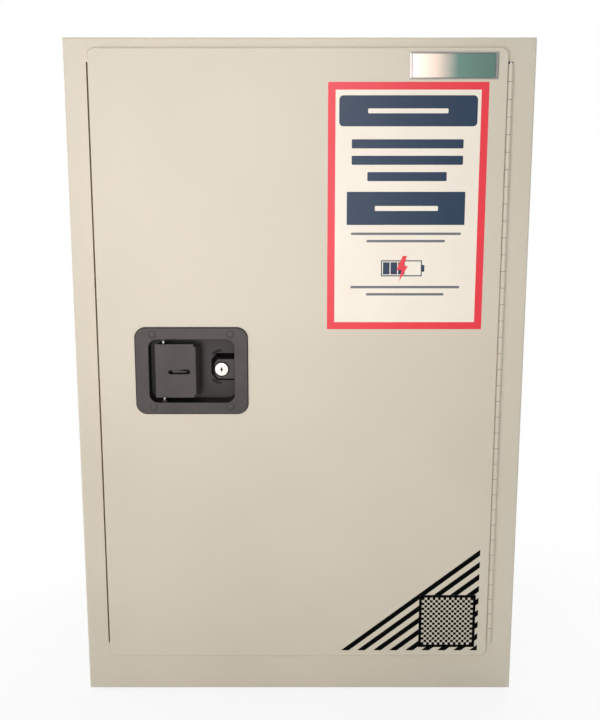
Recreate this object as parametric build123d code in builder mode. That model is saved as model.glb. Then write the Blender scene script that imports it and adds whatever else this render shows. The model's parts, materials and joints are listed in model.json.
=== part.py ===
"""Fire-rated battery charging cabinet: an insulated double-wall steel cabinet with one door.

Millimetres, +Z up, +X to the right of someone facing the door, which looks along +Y.
The origin is on the floor, below the middle of the whole object's box.
"""

import math
import os

from build123d import *

os.makedirs("parts", exist_ok=True)

# ---------------------------------------------------------------- driving sizes
# cabinet body
width = 590.0
depth = 460.0  # front face of the frame to the outside of the back panel
height = 890.0  # floor to the top of the cabinet
foot_height = 4.0  # glide under the base panel
sheet = 1.5  # outer sheet steel
liner_sheet = 1.0
wall = 45.0  # outside of the cabinet to the inside of the liner
corner_bend = 2.5  # outside radius of the folded front edges
frame_return = 14.0  # depth of the frame's folded edge
rear_lip = 12.0  # lip at the back of the wrap that takes the back panel

# door
latch_side_margin = 31.5  # left edge of the door to the side of the cabinet
hinge_side_margin = 36.0  # right edge of the door to the side of the cabinet
door_bottom = 57.0
door_top_margin = 13.0  # top of the door to the top of the cabinet
door_corner = 8.5
door_proud = 7.0  # front of the door skin ahead of the frame
door_sheet = 1.2
door_air_gap = 1.0  # folded edge of the skin to the frame
lap = 19.0  # how far the skin laps the frame above and below the opening
plug_depth = 42.0  # how far the insulated plug reaches into the opening
plug_gap = 2.0  # plug to frame, top and bottom
latch_side_gap = 3.0
stop_depth = 46.5  # front face of the frame to the face that the seal meets
stop_width = 16.0
seal_gap = 0.3

# piano hinge
knuckle_radius = 3.3
pin_radius = 1.5
pin_clearance = 0.05
leaf_sheet = 1.4
leaf_depth = 34.0
knuckle_count = 36
knuckle_gap = 0.6
hinge_clearance = 0.6  # knuckle to the side of the skin
pin_end = 1.5

# flush paddle latch
latch_margin = 121.7  # left edge of the door to the middle of the latch
latch_drop = 1.5  # latch below the middle of the door
tray_width = 147.0
tray_height = 116.0
tray_corner = 14.0
tray_opening_width = 112.0
tray_opening_height = 85.0
tray_opening_corner = 11.0
tray_sheet = 1.5
tray_depth = 24.0  # door face to the inside of the tray floor
gasket = 1.0
gasket_edge = 0.8  # how far the gasket shows round the tray's flange
rivet_spacing_x = 102.0
rivet_spacing_z = 98.5
rivet_head_radius = 5.0
rivet_head_height = 1.2
rivet_body_radius = 2.3
rivet_tail_radius = 3.6
paddle_width = 60.0
paddle_height = 72.0
paddle_sheet = 2.0
paddle_setback = 1.5  # paddle face behind the face of the tray's flange
paddle_pivot_inset = 11.0  # pivot from the paddle's left edge
paddle_pin_radius = 2.0
paddle_arm = 27.0  # pivot to the centre of the arm's round tip
tip_radius = 3.0
bolt_height = 22.0
bolt_depth = 8.5
bolt_throw = 13.0  # bolt beyond the frame's jamb
bolt_tail = 35.0  # bolt beyond the pivot
lock_offset = 38.6  # middle of the latch to the lock
lock_radius = 8.8
lock_plug_radius = 5.6
lock_cam_length = 24.0
boss_reach = 14.6  # foot of the lock's boss to the left of the lock
boss_half = 18.6
boss_height = 14.0  # lock's boss above the tray floor
boss_draft = 20.0
boss_round = 2.5
pin_seat = 2.8  # seats of the paddle's pin, beyond the tray's inner walls

# nameplate
plate_width = 111.0
plate_height = 33.0
plate_side_margin = 67.4  # middle of the plate to the right edge of the door
plate_top_margin = 21.4  # middle of the plate to the top of the door

# inside
shelf_clearance = 2.0  # end of a shelf to the standards
shelf_depth = 290.0
shelf_sheet = 1.2
shelf_lip = 26.0
standard_width = 25.0
standard_depth = 8.0
standard_front = 110.0  # front standards behind the face of the frame
standard_rear = 95.0  # rear standards ahead of the liner's back
standard_foot = 61.0  # standards above the liner's floor
standard_head = 16.0
slot_pitch = 26.0
slot_height = 14.0
clip_drop = 13.0  # shelf to the middle of the slot that its clip hooks into
rail_rise = 78.0  # middle of a power rail above its shelf
rail_height = 48.0
rail_depth = 40.0
rail_end_margin = 50.0  # right end of the rails to the liner
outlet_count = 4
outlet_pitch = 76.0
duct_width = 30.0
duct_margin = 25.0  # cable duct to the liner's left wall
vent_size = 110.0
vent_drop = 115.0  # middle of the exhaust below the top of the cabinet
vent_cover_lap = 20.0
intake_width = 130.0
intake_height = 50.0
intake_z = 122.0
intake_cover_lap = 17.0
fan_size = 120.0
fan_depth = 25.0
thermostat_margin = 100.0  # middle of the thermostat to the liner's right wall

# back
gland_z = 150.0
cable_radius = 5.0
gland_reach = 22.0  # gland beyond the back panel
earth_margin = 65.0  # earth stud to the left side of the cabinet
earth_z = 84.0
earth_radius = 4.0
earth_terminal_radius = 3.0
earth_reach = 18.0
earth_nut_height = 5.5
rivet_inset = 9.0
side_rivets = 6
top_rivets = 4

# feet
glide_radius = 18.0
stud_radius = 4.0
stud_rise = 20.0
nut_radius = 9.0
nut_height = 15.0
foot_inset_x = 50.0
foot_inset_y = 55.0

# ---------------------------------------------------------------- worked out
fit = 0.3  # clearance between pieces that are dropped into each other
flange_front = door_proud + gasket + tray_sheet
front_reach = flange_front + rivet_head_height
face_y = (front_reach - depth - gland_reach) / 2  # front face of the frame
back_y = face_y + depth
half_width = width / 2
door_left = -half_width + latch_side_margin
door_right = half_width - hinge_side_margin
door_width = door_right - door_left
door_x = (door_left + door_right) / 2
door_top = height - door_top_margin
door_z = (door_bottom + door_top) / 2
latch_x = door_left + latch_margin
latch_z = door_z - latch_drop
lock_x = latch_x + lock_offset
base_z = foot_height
plug_bottom = door_bottom + lap
plug_top = door_top - lap
hinge_x = door_right + hinge_clearance + knuckle_radius
hinge_y = face_y - knuckle_radius - fit
opening_left = door_left - latch_side_gap
opening_right = hinge_x + knuckle_radius
opening_bottom = plug_bottom - plug_gap
opening_top = plug_top + plug_gap
liner_half = half_width - wall
liner_floor = base_z + wall
clear_bottom = opening_bottom + stop_width
clear_top = opening_top - 14.0
stop_back = stop_depth + sheet  # where the liner starts, behind the face
liner_back = face_y + depth - wall
skin_back_y = back_y - sheet
board_back = skin_back_y - sheet
inside_height = clear_top - liner_floor
shelf_width = 2 * (liner_half - standard_depth - shelf_clearance)
lower_level = liner_floor + inside_height / 3
upper_level = lower_level + slot_pitch * round(inside_height / 3 / slot_pitch)
shelf_levels = {"lower_shelf": lower_level, "upper_shelf": upper_level}
rail_levels = {"lower": lower_level + rail_rise, "upper": upper_level + rail_rise}
duct_left = -liner_half + duct_margin
rail_left = duct_left + duct_width
rail_right = liner_half - rail_end_margin
vent_z = height - vent_drop
gland_x = duct_left + duct_width / 2
earth_x = -half_width + earth_margin
foot_x = half_width - foot_inset_x
foot_y = depth / 2 - foot_inset_y
foot_centre_y = face_y + depth / 2
stud_top = base_z + stud_rise
door_face = face_y - door_proud
tray_floor = door_face + tray_depth
paddle_face = face_y - flange_front + paddle_setback
paddle_left = latch_x - paddle_width / 2 - 18.2
pivot_x = paddle_left + paddle_pivot_inset
pivot_y = paddle_face + 6.0
bolt_front = tray_floor + tray_sheet + 1.0
bolt_back = bolt_front + bolt_depth
bolt_nose = opening_left - bolt_throw
outlet_first = rail_left + 68.0
thermostat_x = liner_half - thermostat_margin
plate_x = door_right - plate_side_margin
plate_z = door_top - plate_top_margin


def front(y):
    """Sketch plane at depth y, seen from the front: its x is X, its y is Z, and it faces the viewer."""
    return Plane.XZ.offset(-y)


def span(x0, x1, y0, y1, mode=Mode.ADD):
    """A rectangle from corner to corner in the current sketch."""
    with Locations(((x0 + x1) / 2, (y0 + y1) / 2)):
        Rectangle(x1 - x0, y1 - y0, mode=mode)


def save(piece, name):
    """Labels a finished piece and writes it."""
    piece.part.label = name
    export_step(piece.part, f"parts/{name}.step")


# ================================================================ cabinet body
with BuildPart() as front_frame:
    with BuildSketch(front(face_y)):
        span(-half_width, half_width, base_z, height)
    extrude(amount=-frame_return)
    fillet(front_frame.edges().group_by(Axis.Y)[0], corner_bend)
    with BuildSketch(front(face_y + sheet)):
        span(-half_width + sheet, half_width - sheet, base_z + sheet, height - sheet)
    extrude(amount=-frame_return, mode=Mode.SUBTRACT)
    # jamb that lines the opening, with the stop turned in behind it
    with BuildSketch(front(face_y)):
        span(opening_left - sheet, opening_right + sheet, opening_bottom - sheet, opening_top + sheet)
    extrude(amount=-stop_back)
    with BuildSketch(front(face_y)):
        span(opening_left, opening_right, opening_bottom, opening_top)
    extrude(amount=-stop_depth, mode=Mode.SUBTRACT)
    with BuildSketch(front(face_y)):
        span(-liner_half, liner_half, clear_bottom, clear_top)
    extrude(amount=-stop_back, mode=Mode.SUBTRACT)
    # slot that the bolt enters
    with BuildSketch(Plane.YZ.offset(opening_left - 2 * sheet)):
        span(bolt_front - 1.5, bolt_back + 1.5, latch_z - bolt_height / 2 - 1, latch_z + bolt_height / 2 + 1)
    extrude(amount=3 * sheet, mode=Mode.SUBTRACT)
save(front_frame, "front_frame")

with BuildPart() as outer_wrap:
    with BuildSketch(front(face_y + frame_return)):
        span(-half_width, half_width, base_z, height)
    extrude(amount=-(depth - frame_return - sheet))
    fillet(outer_wrap.edges().filter_by(Axis.Y).group_by(Axis.Z)[-1], corner_bend)
    with BuildSketch(front(face_y)):
        span(-half_width + sheet, half_width - sheet, base_z - sheet, height - sheet)
    extrude(amount=-(depth - 2 * sheet), mode=Mode.SUBTRACT)
    with BuildSketch(front(face_y)):
        span(-half_width + rear_lip, half_width - rear_lip, base_z - sheet, height - rear_lip)
    extrude(amount=-depth, mode=Mode.SUBTRACT)
save(outer_wrap, "outer_wrap")

with BuildPart() as base_panel:
    with BuildSketch(Plane.XY.offset(base_z)):
        span(-half_width + sheet, half_width - sheet, face_y + frame_return, board_back)
    extrude(amount=sheet)
    # upstand that takes the back panel
    with BuildSketch(front(board_back)):
        span(-half_width + rear_lip, half_width - rear_lip, base_z, base_z + rear_lip)
    extrude(amount=-sheet)
    with Locations((0, foot_centre_y, base_z + sheet)):
        with GridLocations(2 * foot_x, 2 * foot_y, 2, 2):
            Hole(stud_radius + 0.5, depth=sheet)
save(base_panel, "base_panel")

with BuildPart() as levelling_feet:
    with Locations((0, foot_centre_y, 0)):
        with GridLocations(2 * foot_x, 2 * foot_y, 2, 2):
            Cylinder(glide_radius, foot_height, align=(Align.CENTER, Align.CENTER, Align.MIN))
            Cylinder(stud_radius, stud_top, align=(Align.CENTER, Align.CENTER, Align.MIN))
    chamfer(levelling_feet.edges().filter_by(GeomType.CIRCLE).group_by(Axis.Z)[0], 0.8)
save(levelling_feet, "levelling_feet")

with BuildPart() as foot_bosses:
    with BuildSketch(Plane.XY.offset(base_z + sheet)):
        with Locations((0, foot_centre_y)):
            with GridLocations(2 * foot_x, 2 * foot_y, 2, 2):
                RegularPolygon(nut_radius, 6)
                Circle(stud_radius + 0.05, mode=Mode.SUBTRACT)
    extrude(amount=nut_height)
save(foot_bosses, "foot_bosses")

panel_margin = 3.0
with BuildPart() as back_panel:
    with BuildSketch(front(skin_back_y)):
        span(-half_width + panel_margin, half_width - panel_margin, base_z + panel_margin, height - panel_margin)
        with Locations((0, vent_z)):
            Rectangle(vent_size - 10, vent_size - 10, mode=Mode.SUBTRACT)
        with Locations((0, intake_z)):
            Rectangle(intake_width - 10, intake_height - 10, mode=Mode.SUBTRACT)
        with Locations((gland_x, gland_z)):
            Circle(10.2, mode=Mode.SUBTRACT)
        with Locations((earth_x, earth_z)):
            Circle(earth_radius + 0.3, mode=Mode.SUBTRACT)
    extrude(amount=-sheet)
save(back_panel, "back_panel")

with BuildPart() as back_rivets:
    side_pitch = (height - base_z) / side_rivets
    top_pitch = width / top_rivets
    spots = [(side * (half_width - rivet_inset), base_z + side_pitch * (n + 0.5))
             for side in (-1, 1) for n in range(side_rivets)]
    spots += [(top_pitch * (n + 0.5) - half_width, height - rivet_inset) for n in range(top_rivets)]
    with BuildSketch(front(back_y)):
        with Locations(*spots):
            Circle(3.2)
    extrude(amount=-1.1)
    chamfer(back_rivets.faces().sort_by(Axis.Y)[-len(spots):].edges(), 0.6)
save(back_rivets, "back_rivets")

with BuildPart() as inner_liner:
    with BuildSketch(front(face_y + stop_back)):
        span(-liner_half - liner_sheet, liner_half + liner_sheet,
             liner_floor - liner_sheet, clear_top + liner_sheet)
    extrude(amount=-(liner_back + liner_sheet - face_y - stop_back))
    with BuildSketch(front(face_y + stop_back + liner_sheet)):
        span(-liner_half, liner_half, liner_floor, clear_top)
    extrude(amount=-(liner_back - face_y - stop_back - liner_sheet), mode=Mode.SUBTRACT)
    with BuildSketch(front(face_y + stop_back)):
        span(-liner_half, liner_half, clear_bottom, clear_top)
    extrude(amount=-2 * liner_sheet, mode=Mode.SUBTRACT)
    with BuildSketch(front(liner_back - liner_sheet)):
        with Locations((0, vent_z)):
            Circle((vent_size - 4) / 2)
        with Locations((0, intake_z)):
            Rectangle(intake_width - 10, intake_height - 10)
        with Locations((gland_x, gland_z)):
            Circle(9.0)
    extrude(amount=-3 * liner_sheet, mode=Mode.SUBTRACT)
save(inner_liner, "inner_liner")

strike_z = (latch_z - 20.0, latch_z + 20.0)
strike_y = (bolt_front - 8.0, bolt_back + 8.0)
strike_deep = bolt_throw + 4.0


def side_board(side):
    """Insulation board of one side wall: an L in plan, so that its front edge runs past the jamb."""
    jamb = -opening_left + sheet if side < 0 else opening_right + sheet
    inner = liner_half + liner_sheet
    outer = half_width - sheet
    with BuildPart() as board:
        with BuildSketch(Plane.XY.offset(base_z + sheet)):
            with BuildLine():
                Polyline(
                    (side * outer, face_y + sheet),
                    (side * jamb, face_y + sheet),
                    (side * jamb, face_y + stop_back),
                    (side * inner, face_y + stop_back),
                    (side * inner, board_back),
                    (side * outer, board_back),
                    close=True,
                )
            make_face()
        extrude(amount=height - sheet - base_z - sheet)
        if side < 0:
            with BuildSketch(Plane.YZ.offset(opening_left - sheet)):
                span(*strike_y, *strike_z)
            extrude(amount=-strike_deep - sheet - fit, mode=Mode.SUBTRACT)
        with BuildSketch(Plane.XY.offset(base_z)):
            with Locations((0, foot_centre_y)):
                with GridLocations(2 * foot_x, 2 * foot_y, 2, 2):
                    Circle(nut_radius + 1.5)
        extrude(amount=stud_top - base_z + 1, mode=Mode.SUBTRACT)
    return board


save(side_board(-1), "insulation_left")
save(side_board(1), "insulation_right")


def cross_board(outer_z, inner_z, front_z):
    """Insulation board of the floor or top: an L seen from the side, between the side boards."""
    reach = liner_half + liner_sheet
    with BuildPart() as board:
        with BuildSketch(Plane.YZ.offset(-reach)):
            with BuildLine():
                Polyline(
                    (face_y + sheet, outer_z),
                    (face_y + sheet, front_z),
                    (face_y + stop_back, front_z),
                    (face_y + stop_back, inner_z),
                    (board_back, inner_z),
                    (board_back, outer_z),
                    close=True,
                )
            make_face()
        extrude(amount=2 * reach)
        with BuildSketch(Plane.XY.offset(base_z)):
            with Locations((0, foot_centre_y)):
                with GridLocations(2 * foot_x, 2 * foot_y, 2, 2):
                    Circle(nut_radius + 1.5)
        extrude(amount=stud_top - base_z + 1, mode=Mode.SUBTRACT)
    return board


save(cross_board(base_z + sheet, liner_floor - liner_sheet, opening_bottom - sheet), "insulation_floor")
save(cross_board(height - sheet, clear_top + liner_sheet, opening_top + sheet), "insulation_top")

with BuildPart() as insulation_back:
    reach = liner_half + liner_sheet
    with BuildSketch(front(liner_back + liner_sheet)):
        span(-reach, reach, liner_floor - liner_sheet, clear_top + liner_sheet)
        with Locations((0, vent_z)):
            Rectangle(vent_size, vent_size, mode=Mode.SUBTRACT)
        with Locations((0, intake_z)):
            Rectangle(intake_width, intake_height, mode=Mode.SUBTRACT)
        with Locations((gland_x, gland_z)):
            Circle(14.0, mode=Mode.SUBTRACT)
    extrude(amount=-(board_back - liner_back - liner_sheet))
    with BuildSketch(front(board_back)):
        with Locations((earth_x, earth_z)):
            Circle(9.0)
    extrude(amount=6.0, mode=Mode.SUBTRACT)
save(insulation_back, "insulation_back")

# pocket behind the jamb that the bolt shoots into
with BuildPart() as strike_box:
    jamb_back = opening_left - sheet
    with BuildSketch(Plane.YZ.offset(jamb_back)):
        span(*strike_y, *strike_z)
    extrude(amount=-sheet)
    with BuildSketch(Plane.YZ.offset(jamb_back)):
        span(strike_y[0] + 3, strike_y[1] - 3, strike_z[0] + 4, strike_z[1] - 4)
    extrude(amount=-strike_deep)
    with BuildSketch(Plane.YZ.offset(jamb_back)):
        span(strike_y[0] + 4.5, strike_y[1] - 4.5, strike_z[0] + 5.5, strike_z[1] - 5.5)
    extrude(amount=-strike_deep + sheet, mode=Mode.SUBTRACT)
save(strike_box, "strike_box")

# ================================================================ door
cutout_width = tray_opening_width + 2 * tray_sheet + 1
cutout_height = tray_opening_height + 2 * tray_sheet + 1
bolt_slot = (bolt_front - 1, bolt_back + 1, latch_z - bolt_height / 2 - 0.7, latch_z + bolt_height / 2 + 0.7)

with BuildPart() as door_skin:
    with BuildSketch(front(door_face)):
        with Locations((door_x, door_z)):
            RectangleRounded(door_width, door_top - door_bottom, door_corner)
    extrude(amount=-(door_proud - door_air_gap))
    fillet(door_skin.edges().group_by(Axis.Y)[0], door_sheet)
    with BuildSketch(front(door_face + door_sheet)):
        with Locations((door_x, door_z)):
            RectangleRounded(door_width - 2 * door_sheet, door_top - door_bottom - 2 * door_sheet,
                             door_corner - door_sheet)
    extrude(amount=-door_proud, mode=Mode.SUBTRACT)
    # side edges that run on into the opening and carry the hinge and the bolt
    with BuildSketch(front(face_y - door_air_gap - fit)):
        for edge in (door_left, door_right - door_sheet):
            span(edge, edge + door_sheet, plug_bottom, plug_top)
    extrude(amount=-(plug_depth + door_air_gap - 4.0))
    with BuildSketch(front(door_face)):
        with Locations((latch_x, latch_z)):
            RectangleRounded(cutout_width, cutout_height, tray_opening_corner + tray_sheet)
            with GridLocations(rivet_spacing_x, rivet_spacing_z, 2, 2):
                Circle(rivet_body_radius + 0.2)
    extrude(amount=-2 * door_sheet, mode=Mode.SUBTRACT)
    with BuildSketch(Plane.YZ.offset(door_left - 1)):
        span(*bolt_slot)
    extrude(amount=2 * door_sheet, mode=Mode.SUBTRACT)
save(door_skin, "door_skin")

swage_margin = 46.0
with BuildPart() as door_liner:
    plug_left = door_left + door_sheet
    plug_right = door_right - door_sheet
    with BuildSketch(front(door_face + door_sheet)):
        span(plug_left, plug_right, plug_bottom, plug_top)
    extrude(amount=-(door_proud - door_sheet + plug_depth))
    with BuildSketch(front(door_face)):
        span(plug_left + door_sheet, plug_right - door_sheet, plug_bottom + door_sheet, plug_top - door_sheet)
    extrude(amount=-(door_proud + plug_depth - door_sheet), mode=Mode.SUBTRACT)
    # pressed field that stiffens the inner face
    with BuildSketch(front(face_y + plug_depth)):
        with Locations((door_x, (plug_bottom + plug_top) / 2)):
            RectangleRounded(plug_right - plug_left - 2 * swage_margin, plug_top - plug_bottom - 2 * swage_margin, 20.0)
    extrude(amount=-3.0, taper=30)
    with BuildSketch(Plane.YZ.offset(door_left - 1)):
        span(*bolt_slot)
    extrude(amount=3 * door_sheet, mode=Mode.SUBTRACT)
save(door_liner, "door_liner")

guide_sheet = 1.5
guide_back = bolt_back + 0.4
with BuildPart() as door_core:
    with BuildSketch(front(door_face + door_sheet)):
        span(plug_left + door_sheet, plug_right - door_sheet, plug_bottom + door_sheet, plug_top - door_sheet)
    extrude(amount=-(door_proud + plug_depth - 2 * door_sheet))
    with BuildSketch(front(door_face)):
        with Locations((latch_x, latch_z)):
            Rectangle(tray_width - 8, tray_height - 8)
        span(plug_left, latch_x, latch_z - bolt_height / 2 - 4, latch_z + bolt_height / 2 + 4)
    extrude(amount=-(guide_back + guide_sheet + 1 - door_face), mode=Mode.SUBTRACT)
save(door_core, "door_core")

seal_margin = 1.5
with BuildPart() as door_seal:
    with BuildSketch(front(face_y + plug_depth)):
        span(plug_left + seal_margin, plug_right - seal_margin,
             plug_bottom + seal_margin, plug_top - seal_margin)
        span(-liner_half - seal_margin, liner_half + seal_margin,
             clear_bottom - seal_margin, clear_top + seal_margin, mode=Mode.SUBTRACT)
    extrude(amount=-(stop_depth - plug_depth - seal_gap))
    chamfer(door_seal.edges().group_by(Axis.Y)[-1], 1.2)
save(door_seal, "door_seal")

# ---------------------------------------------------------------- piano hinge
knuckle_pitch = (plug_top - plug_bottom) / knuckle_count


def hinge_leaf(first, leaf_x):
    """One leaf with every other knuckle rolled from it. leaf_x is the leaf's lower x."""
    with BuildPart() as leaf:
        with BuildSketch(Plane.XY.offset(plug_bottom)):
            span(leaf_x, leaf_x + leaf_sheet, face_y + fit, face_y + leaf_depth)
        extrude(amount=plug_top - plug_bottom)
        for n in range(first, knuckle_count, 2):
            with BuildSketch(Plane.XY.offset(plug_bottom + n * knuckle_pitch + knuckle_gap / 2)):
                with Locations((hinge_x, hinge_y)):
                    Circle(knuckle_radius)
                span(leaf_x, leaf_x + leaf_sheet, hinge_y, face_y + fit)
                with Locations((hinge_x, hinge_y)):
                    Circle(pin_radius + pin_clearance, mode=Mode.SUBTRACT)
            extrude(amount=knuckle_pitch - knuckle_gap)
    return leaf


save(hinge_leaf(0, door_right), "hinge_door_leaf")
save(hinge_leaf(1, opening_right - leaf_sheet), "hinge_frame_leaf")

with BuildPart() as hinge_pin:
    with BuildSketch(Plane.XY.offset(plug_bottom - pin_end)):
        with Locations((hinge_x, hinge_y)):
            Circle(pin_radius)
    extrude(amount=plug_top - plug_bottom + 2 * pin_end)
save(hinge_pin, "hinge_pin")

# ---------------------------------------------------------------- paddle latch
boss_left = lock_x - boss_reach
boss_face = tray_floor - boss_height
tray_right = latch_x + tray_opening_width / 2

with BuildPart() as latch_tray:
    with BuildSketch(front(face_y - flange_front)):
        with Locations((latch_x, latch_z)):
            RectangleRounded(tray_width, tray_height, tray_corner)
    extrude(amount=-tray_sheet)
    fillet(latch_tray.edges().group_by(Axis.Y)[0], 1.0)
    with BuildSketch(front(face_y - flange_front + tray_sheet)):
        with Locations((latch_x, latch_z)):
            RectangleRounded(tray_opening_width + 2 * tray_sheet, tray_opening_height + 2 * tray_sheet,
                             tray_opening_corner + tray_sheet)
    extrude(amount=-(tray_floor - face_y + flange_front))
    with BuildSketch(front(face_y - flange_front)):
        with Locations((latch_x, latch_z)):
            RectangleRounded(tray_opening_width, tray_opening_height, tray_opening_corner)
    extrude(amount=-(tray_floor - face_y + flange_front), mode=Mode.SUBTRACT)
    fillet(latch_tray.edges().group_by(Axis.Y)[0].filter_by(
        lambda e: e.bounding_box().size.X < tray_opening_width and
        abs(e.center().X - latch_x) < tray_opening_width / 2 + 0.1 and
        abs(e.center().Z - latch_z) < tray_opening_height / 2 + 0.1), 0.9)
    # raised boss that holds the lock, drawn up from the floor
    with BuildSketch(front(tray_floor)):
        with BuildLine():
            Polyline(
                (tray_right + boss_height, latch_z - boss_half),
                (boss_left + 7, latch_z - boss_half),
                (boss_left, latch_z - boss_half + 9),
                (boss_left, latch_z + boss_half - 9),
                (boss_left + 7, latch_z + boss_half),
                (tray_right + boss_height, latch_z + boss_half),
                close=True,
            )
        make_face()
    extrude(amount=boss_height, taper=boss_draft)
    with BuildSketch(front(boss_face - 1)):
        span(tray_right + tray_sheet, tray_right + 2 * boss_height, latch_z - 2 * boss_half, latch_z + 2 * boss_half)
    extrude(amount=-(boss_height + 2), mode=Mode.SUBTRACT)
    fillet(latch_tray.edges().filter_by_position(Axis.Y, boss_face - 0.01, boss_face + 0.01).filter_by(
        lambda e: e.center().X < tray_right - 1), boss_round)
    # seats in the top and bottom walls for the paddle's pin
    with BuildSketch(Plane.XY.offset(latch_z)):
        with Locations((pivot_x, pivot_y)):
            Circle(paddle_pin_radius + 1.6)
    extrude(amount=tray_opening_height / 2 + 1, both=True)
    with BuildSketch(Plane.XY.offset(latch_z)):
        with Locations((pivot_x, pivot_y)):
            Circle(paddle_pin_radius + 1.7)
    extrude(amount=tray_opening_height / 2 - pin_seat, both=True, mode=Mode.SUBTRACT)
    # hole for the lock, and the reliefs round the boss's left corners
    with BuildSketch(front(boss_face - 1)):
        with Locations((lock_x, latch_z)):
            Circle(7.1)
        for side in (-1, 1):
            with BuildLine():
                CenterArc((boss_left + 13.0, latch_z + side * (boss_half - 11.0)), 14.5, side * 88, side * 52)
            trace(line_width=3.4)
        span(pivot_x - 2.8, pivot_x + 19.5, latch_z - 6.5, latch_z + 6.5)
    extrude(amount=-40, mode=Mode.SUBTRACT)
    with BuildSketch(front(face_y - flange_front)):
        with Locations((latch_x, latch_z)):
            with GridLocations(rivet_spacing_x, rivet_spacing_z, 2, 2):
                Circle(rivet_body_radius + 0.1)
    extrude(amount=-tray_sheet, mode=Mode.SUBTRACT)
    with BuildSketch(Plane.XY.offset(latch_z - tray_opening_height / 2 - 2 * tray_sheet)):
        with Locations((pivot_x, pivot_y)):
            Circle(paddle_pin_radius + 0.03)
    extrude(amount=tray_opening_height + 4 * tray_sheet, mode=Mode.SUBTRACT)
save(latch_tray, "latch_tray")

with BuildPart() as tray_gasket:
    with BuildSketch(front(face_y - door_proud - gasket)):
        with Locations((latch_x, latch_z)):
            RectangleRounded(tray_width + 2 * gasket_edge, tray_height + 2 * gasket_edge,
                             tray_corner + gasket_edge)
            RectangleRounded(cutout_width, cutout_height, tray_opening_corner + tray_sheet, mode=Mode.SUBTRACT)
            with GridLocations(rivet_spacing_x, rivet_spacing_z, 2, 2):
                Circle(rivet_body_radius + 0.1, mode=Mode.SUBTRACT)
    extrude(amount=-gasket)
save(tray_gasket, "tray_gasket")

with BuildPart() as latch_rivets:
    for x, z in [(sx * rivet_spacing_x / 2, sz * rivet_spacing_z / 2) for sx in (-1, 1) for sz in (-1, 1)]:
        with BuildSketch(front(face_y - flange_front)):
            with Locations((latch_x + x, latch_z + z)):
                Circle(rivet_head_radius)
        extrude(amount=rivet_head_height, taper=35)
        with BuildSketch(front(face_y - flange_front)):
            with Locations((latch_x + x, latch_z + z)):
                Circle(rivet_body_radius)
        extrude(amount=-(tray_sheet + gasket + door_sheet))
        with BuildSketch(front(door_face + door_sheet)):
            with Locations((latch_x + x, latch_z + z)):
                Circle(rivet_tail_radius)
        extrude(amount=-rivet_head_height)
save(latch_rivets, "latch_rivets")

with BuildPart() as latch_paddle:
    lip_x = paddle_left + paddle_width
    with BuildSketch(Plane.XY.offset(latch_z - paddle_height / 2)):
        with BuildLine():
            Polyline(
                (paddle_left, paddle_face),
                (lip_x - 6.5, paddle_face),
                (lip_x, paddle_face + 9),
                (lip_x - 1.7, paddle_face + 10.2),
                (lip_x - 7.6, paddle_face + paddle_sheet),
                (paddle_left, paddle_face + paddle_sheet),
                close=True,
            )
        make_face()
    extrude(amount=paddle_height)
    fillet(latch_paddle.edges().filter_by(Axis.Z).group_by(Axis.Y)[0], 0.9)
    # corner reliefs beside the folded lip, and the slot in the face
    with BuildSketch(front(paddle_face)):
        for side in (-1, 1):
            with Locations((lip_x - 4.5, latch_z + side * paddle_height / 2)):
                Rectangle(9.6, 7.0)
    extrude(amount=-14, mode=Mode.SUBTRACT)
    with BuildSketch(front(paddle_face)):
        with Locations((paddle_left + 31.6, latch_z - 1.2)):
            SlotOverall(29.0, 6.4)
    extrude(amount=-paddle_sheet, mode=Mode.SUBTRACT)
    # ears for the pivot pin
    for z in (latch_z - paddle_height / 2, latch_z + paddle_height / 2 - paddle_sheet):
        with BuildSketch(Plane.XY.offset(z)):
            span(pivot_x - 7, pivot_x + 9, paddle_face + paddle_sheet / 2, pivot_y)
            with Locations((pivot_x, pivot_y)):
                Circle(7.0)
        extrude(amount=paddle_sheet)
    # hub, and the arm that drives the bolt
    with BuildSketch(Plane.XY.offset(latch_z - 5)):
        with Locations((pivot_x, pivot_y)):
            Circle(4.2)
        span(pivot_x - 3, pivot_x + 3, paddle_face + paddle_sheet / 2, pivot_y)
        span(pivot_x - 1.5, pivot_x + 1.5, pivot_y, pivot_y + paddle_arm)
        with Locations((pivot_x, pivot_y + paddle_arm)):
            Circle(tip_radius)
    extrude(amount=10)
    with BuildSketch(Plane.XY.offset(latch_z - paddle_height)):
        with Locations((pivot_x, pivot_y)):
            Circle(paddle_pin_radius + 0.05)
    extrude(amount=2 * paddle_height, mode=Mode.SUBTRACT)
save(latch_paddle, "latch_paddle")

with BuildPart() as paddle_pin:
    with BuildSketch(Plane.XY.offset(latch_z - tray_opening_height / 2 - tray_sheet)):
        with Locations((pivot_x, pivot_y)):
            Circle(paddle_pin_radius)
    extrude(amount=tray_opening_height + 2 * tray_sheet)
save(paddle_pin, "paddle_pin")

spring_wire = 0.6
with BuildPart() as paddle_spring:
    with BuildLine():
        coil = Helix(pitch=2.0, height=8.0, radius=3.2, center=(pivot_x, pivot_y, latch_z + 8))
    with BuildSketch(Plane(origin=coil @ 0, z_dir=coil % 0)):
        RegularPolygon(spring_wire, 6)
    sweep(is_frenet=True)
save(paddle_spring, "paddle_spring")

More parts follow.
